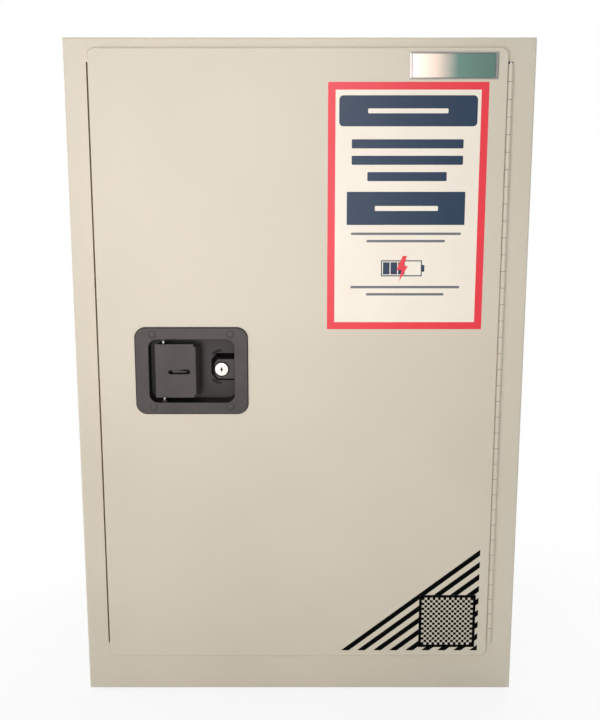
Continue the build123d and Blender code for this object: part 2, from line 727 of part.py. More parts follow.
window_x = (pivot_x - tip_radius - 0.5, pivot_x + tip_radius + 0.7)
with BuildPart() as latch_bolt:
    with BuildSketch(front(bolt_front)):
        span(bolt_nose, pivot_x + bolt_tail, latch_z - bolt_height / 2, latch_z + bolt_height / 2)
        span(*window_x, latch_z - 5.6, latch_z + 5.6, mode=Mode.SUBTRACT)
    extrude(amount=-bolt_depth)
    # slam bevel on the nose
    with BuildSketch(Plane.XY.offset(latch_z - bolt_height)):
        with BuildLine():
            Polyline(
                (bolt_nose - 1, bolt_back + 1),
                (bolt_nose - 1, bolt_front + 2.5),
                (bolt_nose, bolt_front + 2.5),
                (bolt_nose + 8.5, bolt_back + 1),
                close=True,
            )
        make_face()
    extrude(amount=2 * bolt_height, mode=Mode.SUBTRACT)
save(latch_bolt, "latch_bolt")

guide_left = latch_x - tray_width / 2 + 4.0
guide_right = pivot_x + bolt_tail + 8.0
with BuildPart() as bolt_guide:
    floor_back = tray_floor + tray_sheet
    inner_z = bolt_height / 2 + 0.3
    with BuildSketch(Plane.YZ.offset(guide_left)):
        for side in (-1, 1):
            wall_z = sorted((latch_z + side * inner_z, latch_z + side * (inner_z + guide_sheet)))
            foot_z = sorted((latch_z + side * inner_z, latch_z + side * (inner_z + 9)))
            span(floor_back, guide_back + guide_sheet, *wall_z)
            span(floor_back, floor_back + guide_sheet, *foot_z)
        span(guide_back, guide_back + guide_sheet, latch_z - inner_z - guide_sheet, latch_z + inner_z + guide_sheet)
    extrude(amount=guide_right - guide_left)
save(bolt_guide, "bolt_guide")

barrel_back = guide_back + 1.0
with BuildPart() as lock_barrel:
    with BuildSketch(front(boss_face)):
        with Locations((lock_x, latch_z)):
            Circle(lock_radius)
    extrude(amount=2.0)
    fillet(lock_barrel.edges().group_by(Axis.Y)[0], 0.7)
    with BuildSketch(front(boss_face)):
        with Locations((lock_x, latch_z)):
            Circle(7.0)
    extrude(amount=-(bolt_front - boss_face))
    with BuildSketch(front(boss_face - 2.0)):
        with Locations((lock_x, latch_z)):
            Circle(lock_plug_radius + 0.06)
    extrude(amount=-(bolt_front - boss_face + 2.0), mode=Mode.SUBTRACT)
save(lock_barrel, "lock_barrel")

with BuildPart() as lock_plug:
    with BuildSketch(front(boss_face - 1.8)):
        with Locations((lock_x, latch_z)):
            Circle(lock_plug_radius)
    extrude(amount=-(barrel_back - boss_face))
    with BuildSketch(front(boss_face - 1.8)):
        with Locations((lock_x, latch_z)):
            SlotOverall(6.4, 1.5, rotation=90)
            Circle(1.7)
    extrude(amount=-6.0, mode=Mode.SUBTRACT)
save(lock_plug, "lock_plug")

with BuildPart() as lock_cam:
    with BuildSketch(front(bolt_front + 1.0)):
        with Locations((lock_x, latch_z)):
            Circle(8.0)
        span(lock_x - 5, lock_x + 5, latch_z - lock_cam_length + 5, latch_z)
        with Locations((lock_x, latch_z - lock_cam_length + 5)):
            Circle(5.0)
        with Locations((lock_x, latch_z)):
            Circle(lock_plug_radius, mode=Mode.SUBTRACT)
    extrude(amount=-2.5)
save(lock_cam, "lock_cam")

with BuildPart() as nameplate:
    with BuildSketch(front(door_face - 1.6)):
        with Locations((plate_x, plate_z)):
            RectangleRounded(plate_width, plate_height, 0.8)
    extrude(amount=-1.6)
    chamfer(nameplate.edges().group_by(Axis.Y)[0], 0.8)
save(nameplate, "nameplate")

# ================================================================ inside
standard_bottom = liner_floor + standard_foot
standard_top = clear_top - standard_head
standard_y = (face_y + standard_front, liner_back - standard_rear + standard_width / 2)

with BuildPart() as shelf_standards:
    for side in (-1, 1):
        wall_x = side * liner_half
        web_x = side * (liner_half - standard_depth)
        for y in standard_y:
            with BuildSketch(Plane.XY.offset(standard_bottom)):
                span(*sorted((wall_x, web_x)), y - standard_width / 2, y + standard_width / 2)
                span(*sorted((wall_x, web_x + side * sheet)), y - standard_width / 2 + sheet,
                     y + standard_width / 2 - sheet, mode=Mode.SUBTRACT)
            extrude(amount=standard_top - standard_bottom)
    slot_levels = [shelf_levels["lower_shelf"] - clip_drop + slot_pitch * n for n in range(-40, 40)]
    slot_levels = [z for z in slot_levels if standard_bottom + slot_height < z < standard_top - slot_height]
    with BuildSketch(Plane.YZ.offset(-liner_half)):
        with Locations(*[(y, z) for y in standard_y for z in slot_levels]):
            Rectangle(5.0, slot_height)
    extrude(amount=2 * liner_half, mode=Mode.SUBTRACT)
save(shelf_standards, "shelf_standards")

clip_thickness = 3.0
with BuildPart() as shelf_clips:
    for level in shelf_levels.values():
        for side in (-1, 1):
            web = side * (liner_half - standard_depth)
            for y in standard_y:
                with BuildSketch(front(y - 2.0)):
                    with BuildLine():
                        Polyline(
                            (web + side * 3.5, level - clip_drop - 3),
                            (web + side * 3.5, level - clip_drop + 3),
                            (web, level - clip_drop + 3),
                            (web, level),
                            (web - side * 16, level),
                            (web - side * 16, level - clip_thickness),
                            (web - side * clip_thickness, level - clip_drop - 3),
                            close=True,
                        )
                    make_face()
                extrude(amount=-4.0)
save(shelf_clips, "shelf_clips")

shelf_front = face_y + 68.0


def shelf(level):
    """Perforated shelf: a sheet with its four edges folded down."""
    middle_y = shelf_front + shelf_depth / 2
    with BuildPart() as tray:
        with BuildSketch(Plane.XY.offset(level + shelf_sheet)):
            with Locations((0, middle_y)):
                RectangleRounded(shelf_width, shelf_depth, 3.0)
        extrude(amount=-shelf_lip)
        fillet(tray.edges().group_by(Axis.Z)[-1], shelf_sheet)
        with BuildSketch(Plane.XY.offset(level)):
            with Locations((0, middle_y)):
                Rectangle(shelf_width - 2 * shelf_sheet, shelf_depth - 2 * shelf_sheet)
        extrude(amount=-shelf_lip, mode=Mode.SUBTRACT)
        with BuildSketch(Plane.XY.offset(level)):
            with Locations((0, middle_y)):
                with GridLocations(62.0, 52.0, 7, 5):
                    SlotOverall(42.0, 10.0)
        extrude(amount=shelf_sheet, mode=Mode.SUBTRACT)
        # side lips are notched over the clips
        with BuildSketch(Plane.YZ.offset(-shelf_width / 2 - 1)):
            with Locations(*[(y, level - shelf_lip / 2 + 0.6) for y in standard_y]):
                Rectangle(14.0, shelf_lip)
        extrude(amount=shelf_width + 2, mode=Mode.SUBTRACT)
    return tray


for name, level in shelf_levels.items():
    save(shelf(level), name)

rail_front = liner_back - rail_depth
switch_x = rail_left + 24.0
switch_width = 15.0
switch_height = 24.0
rocker_angle = 10.0
rocker_pivot = rail_front + 3.0
trunnion_radius = 1.4
bezel = 1.5


def power_rail(level):
    """Outlet strip: an extruded trunking section with sockets cut for the outlets and the switch."""
    with BuildPart() as rail:
        with BuildSketch(Plane.YZ.offset(rail_left)):
            with BuildLine():
                Polyline(
                    (liner_back, level - rail_height / 2),
                    (rail_front + 8, level - rail_height / 2),
                    (rail_front, level - rail_height / 2 + 4),
                    (rail_front, level + rail_height / 2 - 4),
                    (rail_front + 8, level + rail_height / 2),
                    (liner_back, level + rail_height / 2),
                    close=True,
                )
            make_face()
        extrude(amount=rail_right - rail_left)
        with BuildSketch(Plane.YZ.offset(rail_left + 2)):
            span(rail_front + 2, liner_back - 2, level - rail_height / 2 + 5, level + rail_height / 2 - 5)
        extrude(amount=rail_right - rail_left - 4, mode=Mode.SUBTRACT)
        with BuildSketch(front(rail_front)):
            with Locations((switch_x, level)):
                Rectangle(switch_width + 2 * bezel + 0.2, switch_height + 2 * bezel + 0.2)
            with Locations(*[(outlet_first + outlet_pitch * n, level) for n in range(outlet_count)]):
                Circle(17.0)
        extrude(amount=-2.0, mode=Mode.SUBTRACT)
    return rail


def outlets(level):
    """Round outlet faces with two slanted slots and an earth slot each."""
    with BuildPart() as faces:
        spots = [(outlet_first + outlet_pitch * n, level) for n in range(outlet_count)]
        with BuildSketch(front(rail_front)):
            with Locations(*spots):
                Circle(18.5)
        extrude(amount=1.5)
        with BuildSketch(front(rail_front)):
            with Locations(*spots):
                Circle(16.8)
        extrude(amount=-18.0)
        with BuildSketch(front(rail_front - 1.5)):
            for x, z in spots:
                for dx, dz, turn in ((-7.0, 3.5, 60), (7.0, 3.5, 120), (0, -8.0, 90)):
                    with Locations(Location((x + dx, z + dz), turn)):
                        Rectangle(7.4, 1.9)
        extrude(amount=-12.0, mode=Mode.SUBTRACT)
        # frame that the rail's rocker turns in
        with BuildSketch(front(rail_front)):
            with Locations((switch_x, level)):
                RectangleRounded(switch_width + 4 * bezel, switch_height + 4 * bezel, bezel)
        extrude(amount=1.2)
        with BuildSketch(front(rail_front)):
            with Locations((switch_x, level)):
                Rectangle(switch_width + 2 * bezel, switch_height + 2 * bezel)
        extrude(amount=-12.0)
        with BuildSketch(front(rail_front - 2)):
            with Locations((switch_x, level)):
                Rectangle(switch_width, switch_height)
        extrude(amount=-16.0, mode=Mode.SUBTRACT)
        with BuildSketch(Plane.YZ.offset(switch_x - switch_width / 2 - 1.0)):
            with Locations((rocker_pivot, level)):
                Circle(trunnion_radius + 0.06)
        extrude(amount=switch_width + 2.0, mode=Mode.SUBTRACT)
    return faces


def rocker(level):
    """Rocker of the rail's switch, resting with its lower half pressed in."""
    half = switch_height / 2 - 1.2
    with BuildPart() as cap:
        tilted = Plane(
            origin=(switch_x - switch_width / 2 + 0.6, rocker_pivot, level),
            x_dir=(0, math.cos(math.radians(rocker_angle)), math.sin(math.radians(rocker_angle))),
            z_dir=(1, 0, 0),
        )
        with BuildSketch(tilted):
            with BuildLine():
                Polyline(
                    (3.0, -half + 2.5),
                    (-3.6, -half + 0.2),
                    (-5.0, -half + 1.4),
                    (-3.4, 0),
                    (-5.0, half - 1.4),
                    (-3.6, half - 0.2),
                    (3.0, half - 2.5),
                    (7.0, 0),
                    close=True,
                )
            make_face()
        extrude(amount=switch_width - 1.2)
        with BuildSketch(Plane.YZ.offset(switch_x - switch_width / 2 - 0.8)):
            with Locations((rocker_pivot, level)):
                Circle(trunnion_radius)
        extrude(amount=switch_width + 1.6)
    return cap


for name, level in rail_levels.items():
    save(power_rail(level), f"{name}_power_rail")
    save(outlets(level), f"{name}_outlets")
    save(rocker(level), f"{name}_rocker")

duct_bottom = gland_z - 24.0
duct_top = vent_z - 20.0
with BuildPart() as cable_duct:
    with BuildSketch(Plane.XY.offset(duct_bottom)):
        span(duct_left, duct_left + duct_width, liner_back - duct_width, liner_back)
    extrude(amount=duct_top - duct_bottom)
    with BuildSketch(Plane.XY.offset(duct_bottom + 2)):
        span(duct_left + 2, duct_left + duct_width - 2, liner_back - duct_width + 2, liner_back - 2)
    extrude(amount=duct_top - duct_bottom - 4, mode=Mode.SUBTRACT)
    with BuildSketch(front(liner_back - 2)):
        with Locations((gland_x, gland_z)):
            Circle(9.0)
    extrude(amount=-2, mode=Mode.SUBTRACT)
save(cable_duct, "cable_duct")

spindle_radius = 3.0
with BuildPart() as thermostat:
    with BuildSketch(front(liner_back - 32)):
        with Locations((thermostat_x, vent_z)):
            RectangleRounded(40.0, 62.0, 3.0)
    extrude(amount=-32)
    fillet(thermostat.edges().group_by(Axis.Y)[0], 1.5)
    with BuildSketch(front(liner_back - 32)):
        with Locations([(thermostat_x, vent_z - 20 - 4.5 * n) for n in range(-1, 2)]):
            Rectangle(26.0, 1.6)
    extrude(amount=-2, mode=Mode.SUBTRACT)
    with BuildSketch(front(liner_back - 32)):
        with Locations((thermostat_x, vent_z + 8)):
            Circle(spindle_radius + pin_clearance)
    extrude(amount=-10, mode=Mode.SUBTRACT)
save(thermostat, "thermostat")

with BuildPart() as thermostat_dial:
    with BuildSketch(front(liner_back - 32 - fit)):
        with Locations((thermostat_x, vent_z + 8)):
            Circle(13.0)
    extrude(amount=8.0, taper=4)
    fillet(thermostat_dial.edges().group_by(Axis.Y)[0], 1.2)
    with BuildSketch(front(liner_back - 32 - fit - 8.0)):
        with Locations((thermostat_x, vent_z + 8 + 8)):
            Rectangle(1.6, 6.0)
    extrude(amount=-1.0, mode=Mode.SUBTRACT)
    with BuildSketch(front(liner_back - 32 - fit)):
        with Locations((thermostat_x, vent_z + 8)):
            Circle(spindle_radius)
    extrude(amount=-9.0)
save(thermostat_dial, "thermostat_dial")

# leads of the fan and the thermostat, clipped flat against the liner
lead_radius = 3.0
lead_z = vent_z - 34.0
with BuildPart() as fan_leads:
    for start, end in ((rail_left, -fan_size / 2), (fan_size / 2, thermostat_x - 20.0)):
        with BuildSketch(Plane.YZ.offset(start)):
            with Locations((liner_back - lead_radius, lead_z)):
                Circle(lead_radius)
        extrude(amount=end - start)
        with BuildSketch(Plane.YZ.offset((start + end) / 2 - 4.0)):
            span(liner_back - 2 * lead_radius - 1.5, liner_back, lead_z - lead_radius - 1.5, lead_z + lead_radius + 6)
        extrude(amount=8.0)
save(fan_leads, "fan_leads")

# ---------------------------------------------------------------- exhaust fan and vents
fan_front = liner_back - fan_depth
fan_bore = 56.5
fan_hole_spacing = 105.0
hub_radius = 20.0
fan_shaft_radius = 2.0

with BuildPart() as fan_frame:
    with BuildSketch(front(fan_front)):
        with Locations((0, vent_z)):
            RectangleRounded(fan_size, fan_size, 6.0)
            Circle(fan_bore, mode=Mode.SUBTRACT)
            with GridLocations(fan_hole_spacing, fan_hole_spacing, 2, 2):
                Circle(2.15, mode=Mode.SUBTRACT)
    extrude(amount=-fan_depth)
    # waist between the two flanges
    with BuildSketch(front(fan_front + 4)):
        with Locations((0, vent_z)):
            Rectangle(fan_size + 2, fan_size + 2)
            Circle(fan_bore + 3.2, mode=Mode.SUBTRACT)
    extrude(amount=-(fan_depth - 8), mode=Mode.SUBTRACT)
    # motor cup on four struts at the back
    with BuildSketch(front(liner_back - 4)):
        with Locations((0, vent_z)):
            Circle(hub_radius)
            with PolarLocations(0, 4):
                with Locations((fan_bore / 2 + 6, 0)):
                    Rectangle(fan_bore - 8, 4.0)
    extrude(amount=-4)
    with BuildSketch(front(liner_back - 4)):
        with Locations((0, vent_z)):
            Circle(fan_shaft_radius)
    extrude(amount=12.0)
save(fan_frame, "fan_frame")

blade_count = 7
rotor_back = liner_back - 4 - 1.0
rotor_front = fan_front + 1.5
blade_mid = (rotor_back + rotor_front) / 2
with BuildPart() as fan_rotor:
    with BuildSketch(front(rotor_front)):
        with Locations((0, vent_z)):
            Circle(hub_radius)
    extrude(amount=-(rotor_back - rotor_front))
    fillet(fan_rotor.edges().group_by(Axis.Y)[0], 2.0)
    # swept blades, steep at the hub and flatter at the tip
    for n in range(blade_count):
        outward = Vector(1, 0, 0).rotate(Axis.Y, 360 / blade_count * n)
        for radius, pitch, chord in ((hub_radius - 2, 42, 21.0), (37.0, 33, 27.0), (fan_bore, 24, 31.0)):
            along = Vector(0, 1, 0).cross(outward).rotate(Axis(origin=(0, 0, 0), direction=outward), pitch)
            spot = Vector(0, blade_mid, vent_z) + outward * radius
            with BuildSketch(Plane(origin=spot, x_dir=along, z_dir=outward)):
                Rectangle(chord, 1.6)
        loft()
    with BuildSketch(front(fan_front)):
        with Locations((0, vent_z)):
            Circle(fan_bore - 1.2)
    extrude(amount=-fan_depth, mode=Mode.INTERSECT)
    with BuildSketch(front(rotor_back)):
        with Locations((0, vent_z)):
            Circle(fan_shaft_radius + pin_clearance)
    extrude(amount=12.0, mode=Mode.SUBTRACT)
save(fan_rotor, "fan_rotor")

guard_wire = 1.8
guard_rings = 5
guard_inner = fan_bore / 6
guard_pitch = (fan_bore + guard_wire - guard_inner) / (guard_rings - 0.5)
guard_reach = fan_hole_spacing / math.sqrt(2)
with BuildPart() as fan_guard:
    with BuildSketch(front(fan_front - 2.2)):
        with Locations((0, vent_z)):
            for n in range(guard_rings):
                Circle(guard_inner + guard_pitch * (n + 0.5) + guard_wire / 2)
                Circle(guard_inner + guard_pitch * (n + 0.5) - guard_wire / 2, mode=Mode.SUBTRACT)
            with PolarLocations(0, 4, start_angle=45):
                with Locations(((guard_inner + guard_reach) / 2 + guard_pitch / 4, 0)):
                    Rectangle(guard_reach - guard_inner - guard_pitch / 2, 2.6)
            with GridLocations(fan_hole_spacing, fan_hole_spacing, 2, 2):
                Circle(4.2)
    extrude(amount=-1.9)
save(fan_guard, "fan_guard")


def vent_core(spot_z, wide, tall, bars):
    """Intumescent block that fills a vent and swells shut in a fire."""
    with BuildPart() as core:
        with BuildSketch(front(liner_back + liner_sheet + fit)):
            with Locations((0, spot_z)):
                Rectangle(wide - 2 * fit, tall - 2 * fit)
                with GridLocations(wide / bars, tall, bars, 1):
                    Rectangle(wide / bars - 5.0, tall - 14.0, mode=Mode.SUBTRACT)
        extrude(amount=-(skin_back_y - liner_back - liner_sheet - 2 * fit))
    return core


save(vent_core(vent_z, vent_size, vent_size, 11), "exhaust_vent_core")
save(vent_core(intake_z, intake_width, intake_height, 13), "intake_vent_core")


def louvre(spot_z, wide, tall, count):
    """Outside vent cover with hooded louvres pressed out of the sheet."""
    pitch = (tall - 24.0) / count
    slots = [spot_z + pitch * (n - (count - 1) / 2) for n in range(count)]
    with BuildPart() as cover:
        with BuildSketch(front(back_y)):
            with Locations((0, spot_z)):
                RectangleRounded(wide, tall, 5.0)
            with Locations(*[(0, z) for z in slots]):
                Rectangle(wide - 30, 6.0, mode=Mode.SUBTRACT)
        extrude(amount=-sheet)
        for z in slots:
            with BuildSketch(Plane.YZ.offset(-wide / 2 + 15)):
                with BuildLine():
                    Polyline(
                        (back_y, z + 3),
                        (back_y, z + 4.5),
                        (back_y + sheet, z + 4.5),
                        (back_y + 6.5, z - 2.0),
                        (back_y + 5.2, z - 2.6),
                        (back_y + sheet, z + 3),
                        close=True,
                    )
                make_face()
            extrude(amount=wide - 30)
    return cover


vent_cover = vent_size + 2 * vent_cover_lap
save(louvre(vent_z, vent_cover, vent_cover, 8), "exhaust_louvre")
save(louvre(intake_z, intake_width + 2 * vent_cover_lap, intake_height + 2 * intake_cover_lap, 4), "intake_louvre")

with BuildPart() as intake_grille:
    with BuildSketch(front(liner_back - sheet)):
        with Locations((0, intake_z)):
            RectangleRounded(intake_width + 14, intake_height + 8, 4.0)
            with GridLocations(11.0, 1.0, 11, 1):
                SlotOverall(intake_height - 16, 5.0, rotation=90, mode=Mode.SUBTRACT)
    extrude(amount=-sheet)
save(intake_grille, "intake_grille")

# ---------------------------------------------------------------- cable entry and earth stud
with BuildPart() as cable_gland:
    with BuildSketch(front(back_y)):
        with Locations((gland_x, gland_z)):
            RegularPolygon(14.5, 6)
    extrude(amount=-8.0)
    with BuildSketch(front(back_y + 8.0)):
        with Locations((gland_x, gland_z)):
            Circle(12.0)
    extrude(amount=-(gland_reach - 8.0), taper=8)
    with BuildSketch(front(back_y)):
        with Locations((gland_x, gland_z)):
            Circle(10.0)
    extrude(amount=12.0)
    with BuildSketch(front(back_y - 12.0)):
        with Locations((gland_x, gland_z)):
            Circle(cable_radius)
    extrude(amount=-(gland_reach + 12.0), mode=Mode.SUBTRACT)
save(cable_gland, "cable_gland")

with BuildPart() as gland_locknut:
    with BuildSketch(front(skin_back_y)):
        with Locations((gland_x, gland_z)):
            RegularPolygon(13.5, 6)
            Circle(10.05, mode=Mode.SUBTRACT)
    extrude(amount=5.0)
save(gland_locknut, "gland_locknut")

with BuildPart() as cable_sleeve:
    with BuildSketch(front(liner_back - 2 + fit)):
        with Locations((gland_x, gland_z)):
            Circle(8.8)
            Circle(7.4, mode=Mode.SUBTRACT)
    extrude(amount=-(back_y - 12.0 - fit - liner_back + 2 - fit))
save(cable_sleeve, "cable_sleeve")

with BuildPart() as earth_stud:
    with BuildSketch(front(skin_back_y)):
        with Locations((earth_x, earth_z)):
            Circle(7.5)
    extrude(amount=3.0)
    with BuildSketch(front(skin_back_y)):
        with Locations((earth_x, earth_z)):
            Circle(earth_radius)
    extrude(amount=-(sheet + earth_nut_height))
    with BuildSketch(front(back_y)):
        with Locations((earth_x, earth_z)):
            Circle(earth_terminal_radius)
    extrude(amount=-earth_reach)
save(earth_stud, "earth_stud")

with BuildPart() as earth_nut:
    with BuildSketch(front(back_y)):
        with Locations((earth_x, earth_z)):
            RegularPolygon(7.4, 6)
            Circle(earth_radius + 0.05, mode=Mode.SUBTRACT)
    extrude(amount=-earth_nut_height)
save(earth_nut, "earth_nut")
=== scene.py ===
"""Looks of the battery charging cabinet, laid out as a Blender add-on and run as a script.

Metres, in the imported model's frame: +Z up, the door's outside faces -Y, the floor is z = 0.
"""

import json
import math

import bmesh
import bpy
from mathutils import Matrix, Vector


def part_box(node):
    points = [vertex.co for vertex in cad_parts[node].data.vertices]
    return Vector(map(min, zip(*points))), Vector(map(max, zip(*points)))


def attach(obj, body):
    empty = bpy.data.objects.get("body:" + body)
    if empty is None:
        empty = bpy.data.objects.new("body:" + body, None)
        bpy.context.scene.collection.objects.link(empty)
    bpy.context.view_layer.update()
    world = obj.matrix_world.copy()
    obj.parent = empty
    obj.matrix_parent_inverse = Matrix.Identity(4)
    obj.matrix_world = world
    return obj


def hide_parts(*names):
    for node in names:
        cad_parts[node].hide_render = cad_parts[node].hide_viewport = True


bl_info = {
    "name": "Battery Cabinet Finish",
    "version": (1, 0, 0),
    "blender": (4, 5, 0),
    "location": "View3D > Sidebar > Cabinet",
    "description": "Adds finishes, decals, fasteners and a plain stage to the packed battery cabinet",
    "category": "Object",
}

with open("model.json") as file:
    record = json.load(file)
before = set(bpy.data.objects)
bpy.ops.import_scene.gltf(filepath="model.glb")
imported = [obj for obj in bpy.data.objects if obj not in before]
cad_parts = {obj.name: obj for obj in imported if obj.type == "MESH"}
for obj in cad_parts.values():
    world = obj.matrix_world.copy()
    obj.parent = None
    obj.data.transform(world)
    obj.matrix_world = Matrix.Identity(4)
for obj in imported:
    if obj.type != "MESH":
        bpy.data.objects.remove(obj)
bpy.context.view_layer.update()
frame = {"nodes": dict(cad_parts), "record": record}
NODES = frame["nodes"]
MM = 0.001
FILM = 0.12 * MM  # thickness of a printed or cut film
KNUCKLES = 36  # along the piano hinge

# Places that several pieces share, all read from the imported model.
DOOR_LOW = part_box("door_skin")[0]
FRAME_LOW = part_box("front_frame")[0]
TRAY_LOW, TRAY_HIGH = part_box("latch_tray")
LATCH = (TRAY_LOW + TRAY_HIGH) / 2


# ------------------------------------------------------------------ colours and nodes
def linear(code, alpha=1.0):
    """An sRGB hex colour such as "#E0D6C2" as Blender's linear RGBA."""
    parts = [int(code[i:i + 2], 16) / 255 for i in (1, 3, 5)]
    return tuple(p / 12.92 if p <= 0.04045 else ((p + 0.055) / 1.055) ** 2.4 for p in parts) + (alpha,)


def colour_property(name, description, code):
    """A colour that the user can change, starting at an sRGB hex value."""
    return bpy.props.FloatVectorProperty(
        name=name, description=description, subtype="COLOR", size=4, min=0, max=1, default=linear(code)
    )


def length_property(name, description, metres):
    """A length that the user can change."""
    return bpy.props.FloatProperty(
        name=name, description=description, subtype="DISTANCE", unit="LENGTH", min=0, default=metres
    )


def add_node(tree, kind, settings, links=()):
    """Adds a node, sets its fields and inputs by name, and joins (output, input name) pairs to it."""
    node = tree.nodes.new(kind)
    for key, value in settings.items():
        if isinstance(key, str) and hasattr(node, key):
            setattr(node, key, value)
        else:
            node.inputs[key].default_value = value
    for output, key in links:
        tree.links.new(output, node.inputs[key])
    return node


def start_material(name):
    """A material with only its Principled BSDF and output, and that shader."""
    material = bpy.data.materials.new(name)
    material.use_nodes = True
    shader = material.node_tree.nodes["Principled BSDF"]
    return material, material.node_tree, shader


def object_space(tree):
    """Coordinates in metres, fixed to the object."""
    return add_node(tree, "ShaderNodeTexCoord", {}).outputs["Object"]


def per_metre(millimetres):
    """A texture scale whose features are about this many millimetres across."""
    return 1000.0 / millimetres


def ramp_colours(node, stops):
    """Sets a colour ramp's stops from (place, RGBA) pairs."""
    elements = node.color_ramp.elements
    while len(elements) < len(stops):
        elements.new(0.5)
    for element, (place, colour) in zip(elements, stops):
        element.position = place
        element.color = colour


def shade(colour, amount):
    """The same colour, lighter for an amount over 1 and darker under 1."""
    return tuple(min(1.0, c * amount) for c in colour[:3]) + (1.0,)


# ------------------------------------------------------------------ materials
def powder_coated_steel(name, colour, roughness=0.36, tone=0.03):
    """Polyester powder coat, sprayed dry and baked: a soft sheen over a fine orange peel, faint tone drift."""
    material, tree, shader = start_material(name)
    place = object_space(tree)
    drift = add_node(tree, "ShaderNodeTexNoise", {"Scale": per_metre(260), "Detail": 2.0}, [(place, "Vector")])
    ramp = add_node(tree, "ShaderNodeValToRGB", {}, [(drift.outputs["Fac"], "Fac")])
    ramp_colours(ramp, [(0.35, shade(colour, 1 - tone)), (0.65, shade(colour, 1 + tone * 0.6))])
    tree.links.new(ramp.outputs["Color"], shader.inputs["Base Color"])
    # orange peel is about 1.5 mm across on a real coat, drawn at 2.5 mm so that it shows
    peel = add_node(tree, "ShaderNodeTexNoise", {"Scale": per_metre(2.5), "Detail": 3.0}, [(place, "Vector")])
    waves = add_node(tree, "ShaderNodeTexNoise", {"Scale": per_metre(90), "Detail": 1.0}, [(place, "Vector")])
    fine = add_node(tree, "ShaderNodeBump", {"Strength": 0.12, "Distance": 0.06 * MM},
                    [(peel.outputs["Fac"], "Height")])
    broad = add_node(tree, "ShaderNodeBump", {"Strength": 0.5, "Distance": 0.7 * MM},
                     [(waves.outputs["Fac"], "Height"), (fine.outputs["Normal"], "Normal")])
    tree.links.new(broad.outputs["Normal"], shader.inputs["Normal"])
    gloss = add_node(tree, "ShaderNodeMapRange", {"To Min": roughness - 0.03, "To Max": roughness + 0.05},
                     [(peel.outputs["Fac"], "Value")])
    tree.links.new(gloss.outputs["Result"], shader.inputs["Roughness"])
    shader.inputs["IOR"].default_value = 1.5
    return material


# walls sets how dark the painted shade on the walls and folded edges is
def electrocoated_steel(name, colour, walls=0.06):
    """Charcoal electrocoat on pressed steel: satin with a fine grain and a random tone.

    Faces that turn from the door's front are painted darker, nearly black on the drawn walls and folded edges,
    and the pocket is painted darker the deeper it lies: both are painted shade.
    """
    material, tree, shader = start_material(name)
    place = object_space(tree)
    grain = add_node(tree, "ShaderNodeTexNoise", {"Scale": per_metre(1.2), "Detail": 4.0}, [(place, "Vector")])
    smudge = add_node(tree, "ShaderNodeTexNoise", {"Scale": per_metre(38), "Detail": 3.0}, [(place, "Vector")])
    ramp = add_node(tree, "ShaderNodeValToRGB", {}, [(smudge.outputs["Fac"], "Fac")])
    ramp_colours(ramp, [(0.3, shade(colour, 0.86)), (0.7, shade(colour, 1.16))])
    # painted shade: faces that turn away from the front are darkened, down to the walls value
    facing = add_node(tree, "ShaderNodeSeparateXYZ", {},
                      [(add_node(tree, "ShaderNodeTexCoord", {}).outputs["Normal"], "Vector")])
    flat = add_node(tree, "ShaderNodeMath", {"operation": "ABSOLUTE"}, [(facing.outputs["Y"], 0)])
    painted_wall_shade = add_node(tree, "ShaderNodeMapRange", {
        "From Min": 0.35, "From Max": 0.97, "To Min": walls, "To Max": 1.0
    }, [(flat.outputs["Value"], "Value")])
    # painted shade: the coat is darkened the deeper it lies in the latch's pocket
    sunk = add_node(tree, "ShaderNodeSeparateXYZ", {}, [(place, "Vector")])
    painted_pocket_shade = add_node(tree, "ShaderNodeMapRange", {
        "From Min": TRAY_LOW.y + 4 * MM, "From Max": TRAY_LOW.y + 24 * MM, "To Min": 1.0, "To Max": 0.55
    }, [(sunk.outputs["Y"], "Value")])
    painted_shade = add_node(tree, "ShaderNodeMath", {"operation": "MULTIPLY"},
                    [(painted_wall_shade.outputs["Result"], 0), (painted_pocket_shade.outputs["Result"], 1)])
    tone = add_node(tree, "ShaderNodeVectorMath", {"operation": "SCALE"},
                    [(ramp.outputs["Color"], 0), (painted_shade.outputs["Value"], "Scale")])
    tree.links.new(tone.outputs["Vector"], shader.inputs["Base Color"])
    gloss = add_node(tree, "ShaderNodeMapRange", {"To Min": 0.34, "To Max": 0.5},
                     [(smudge.outputs["Fac"], "Value")])
    tree.links.new(gloss.outputs["Result"], shader.inputs["Roughness"])
    bump = add_node(tree, "ShaderNodeBump", {"Strength": 0.25, "Distance": 0.04 * MM},
                    [(grain.outputs["Fac"], "Height")])
    tree.links.new(bump.outputs["Normal"], shader.inputs["Normal"])
    shader.inputs["IOR"].default_value = 1.5
    shader.inputs["Specular IOR Level"].default_value = 0.3
    return material


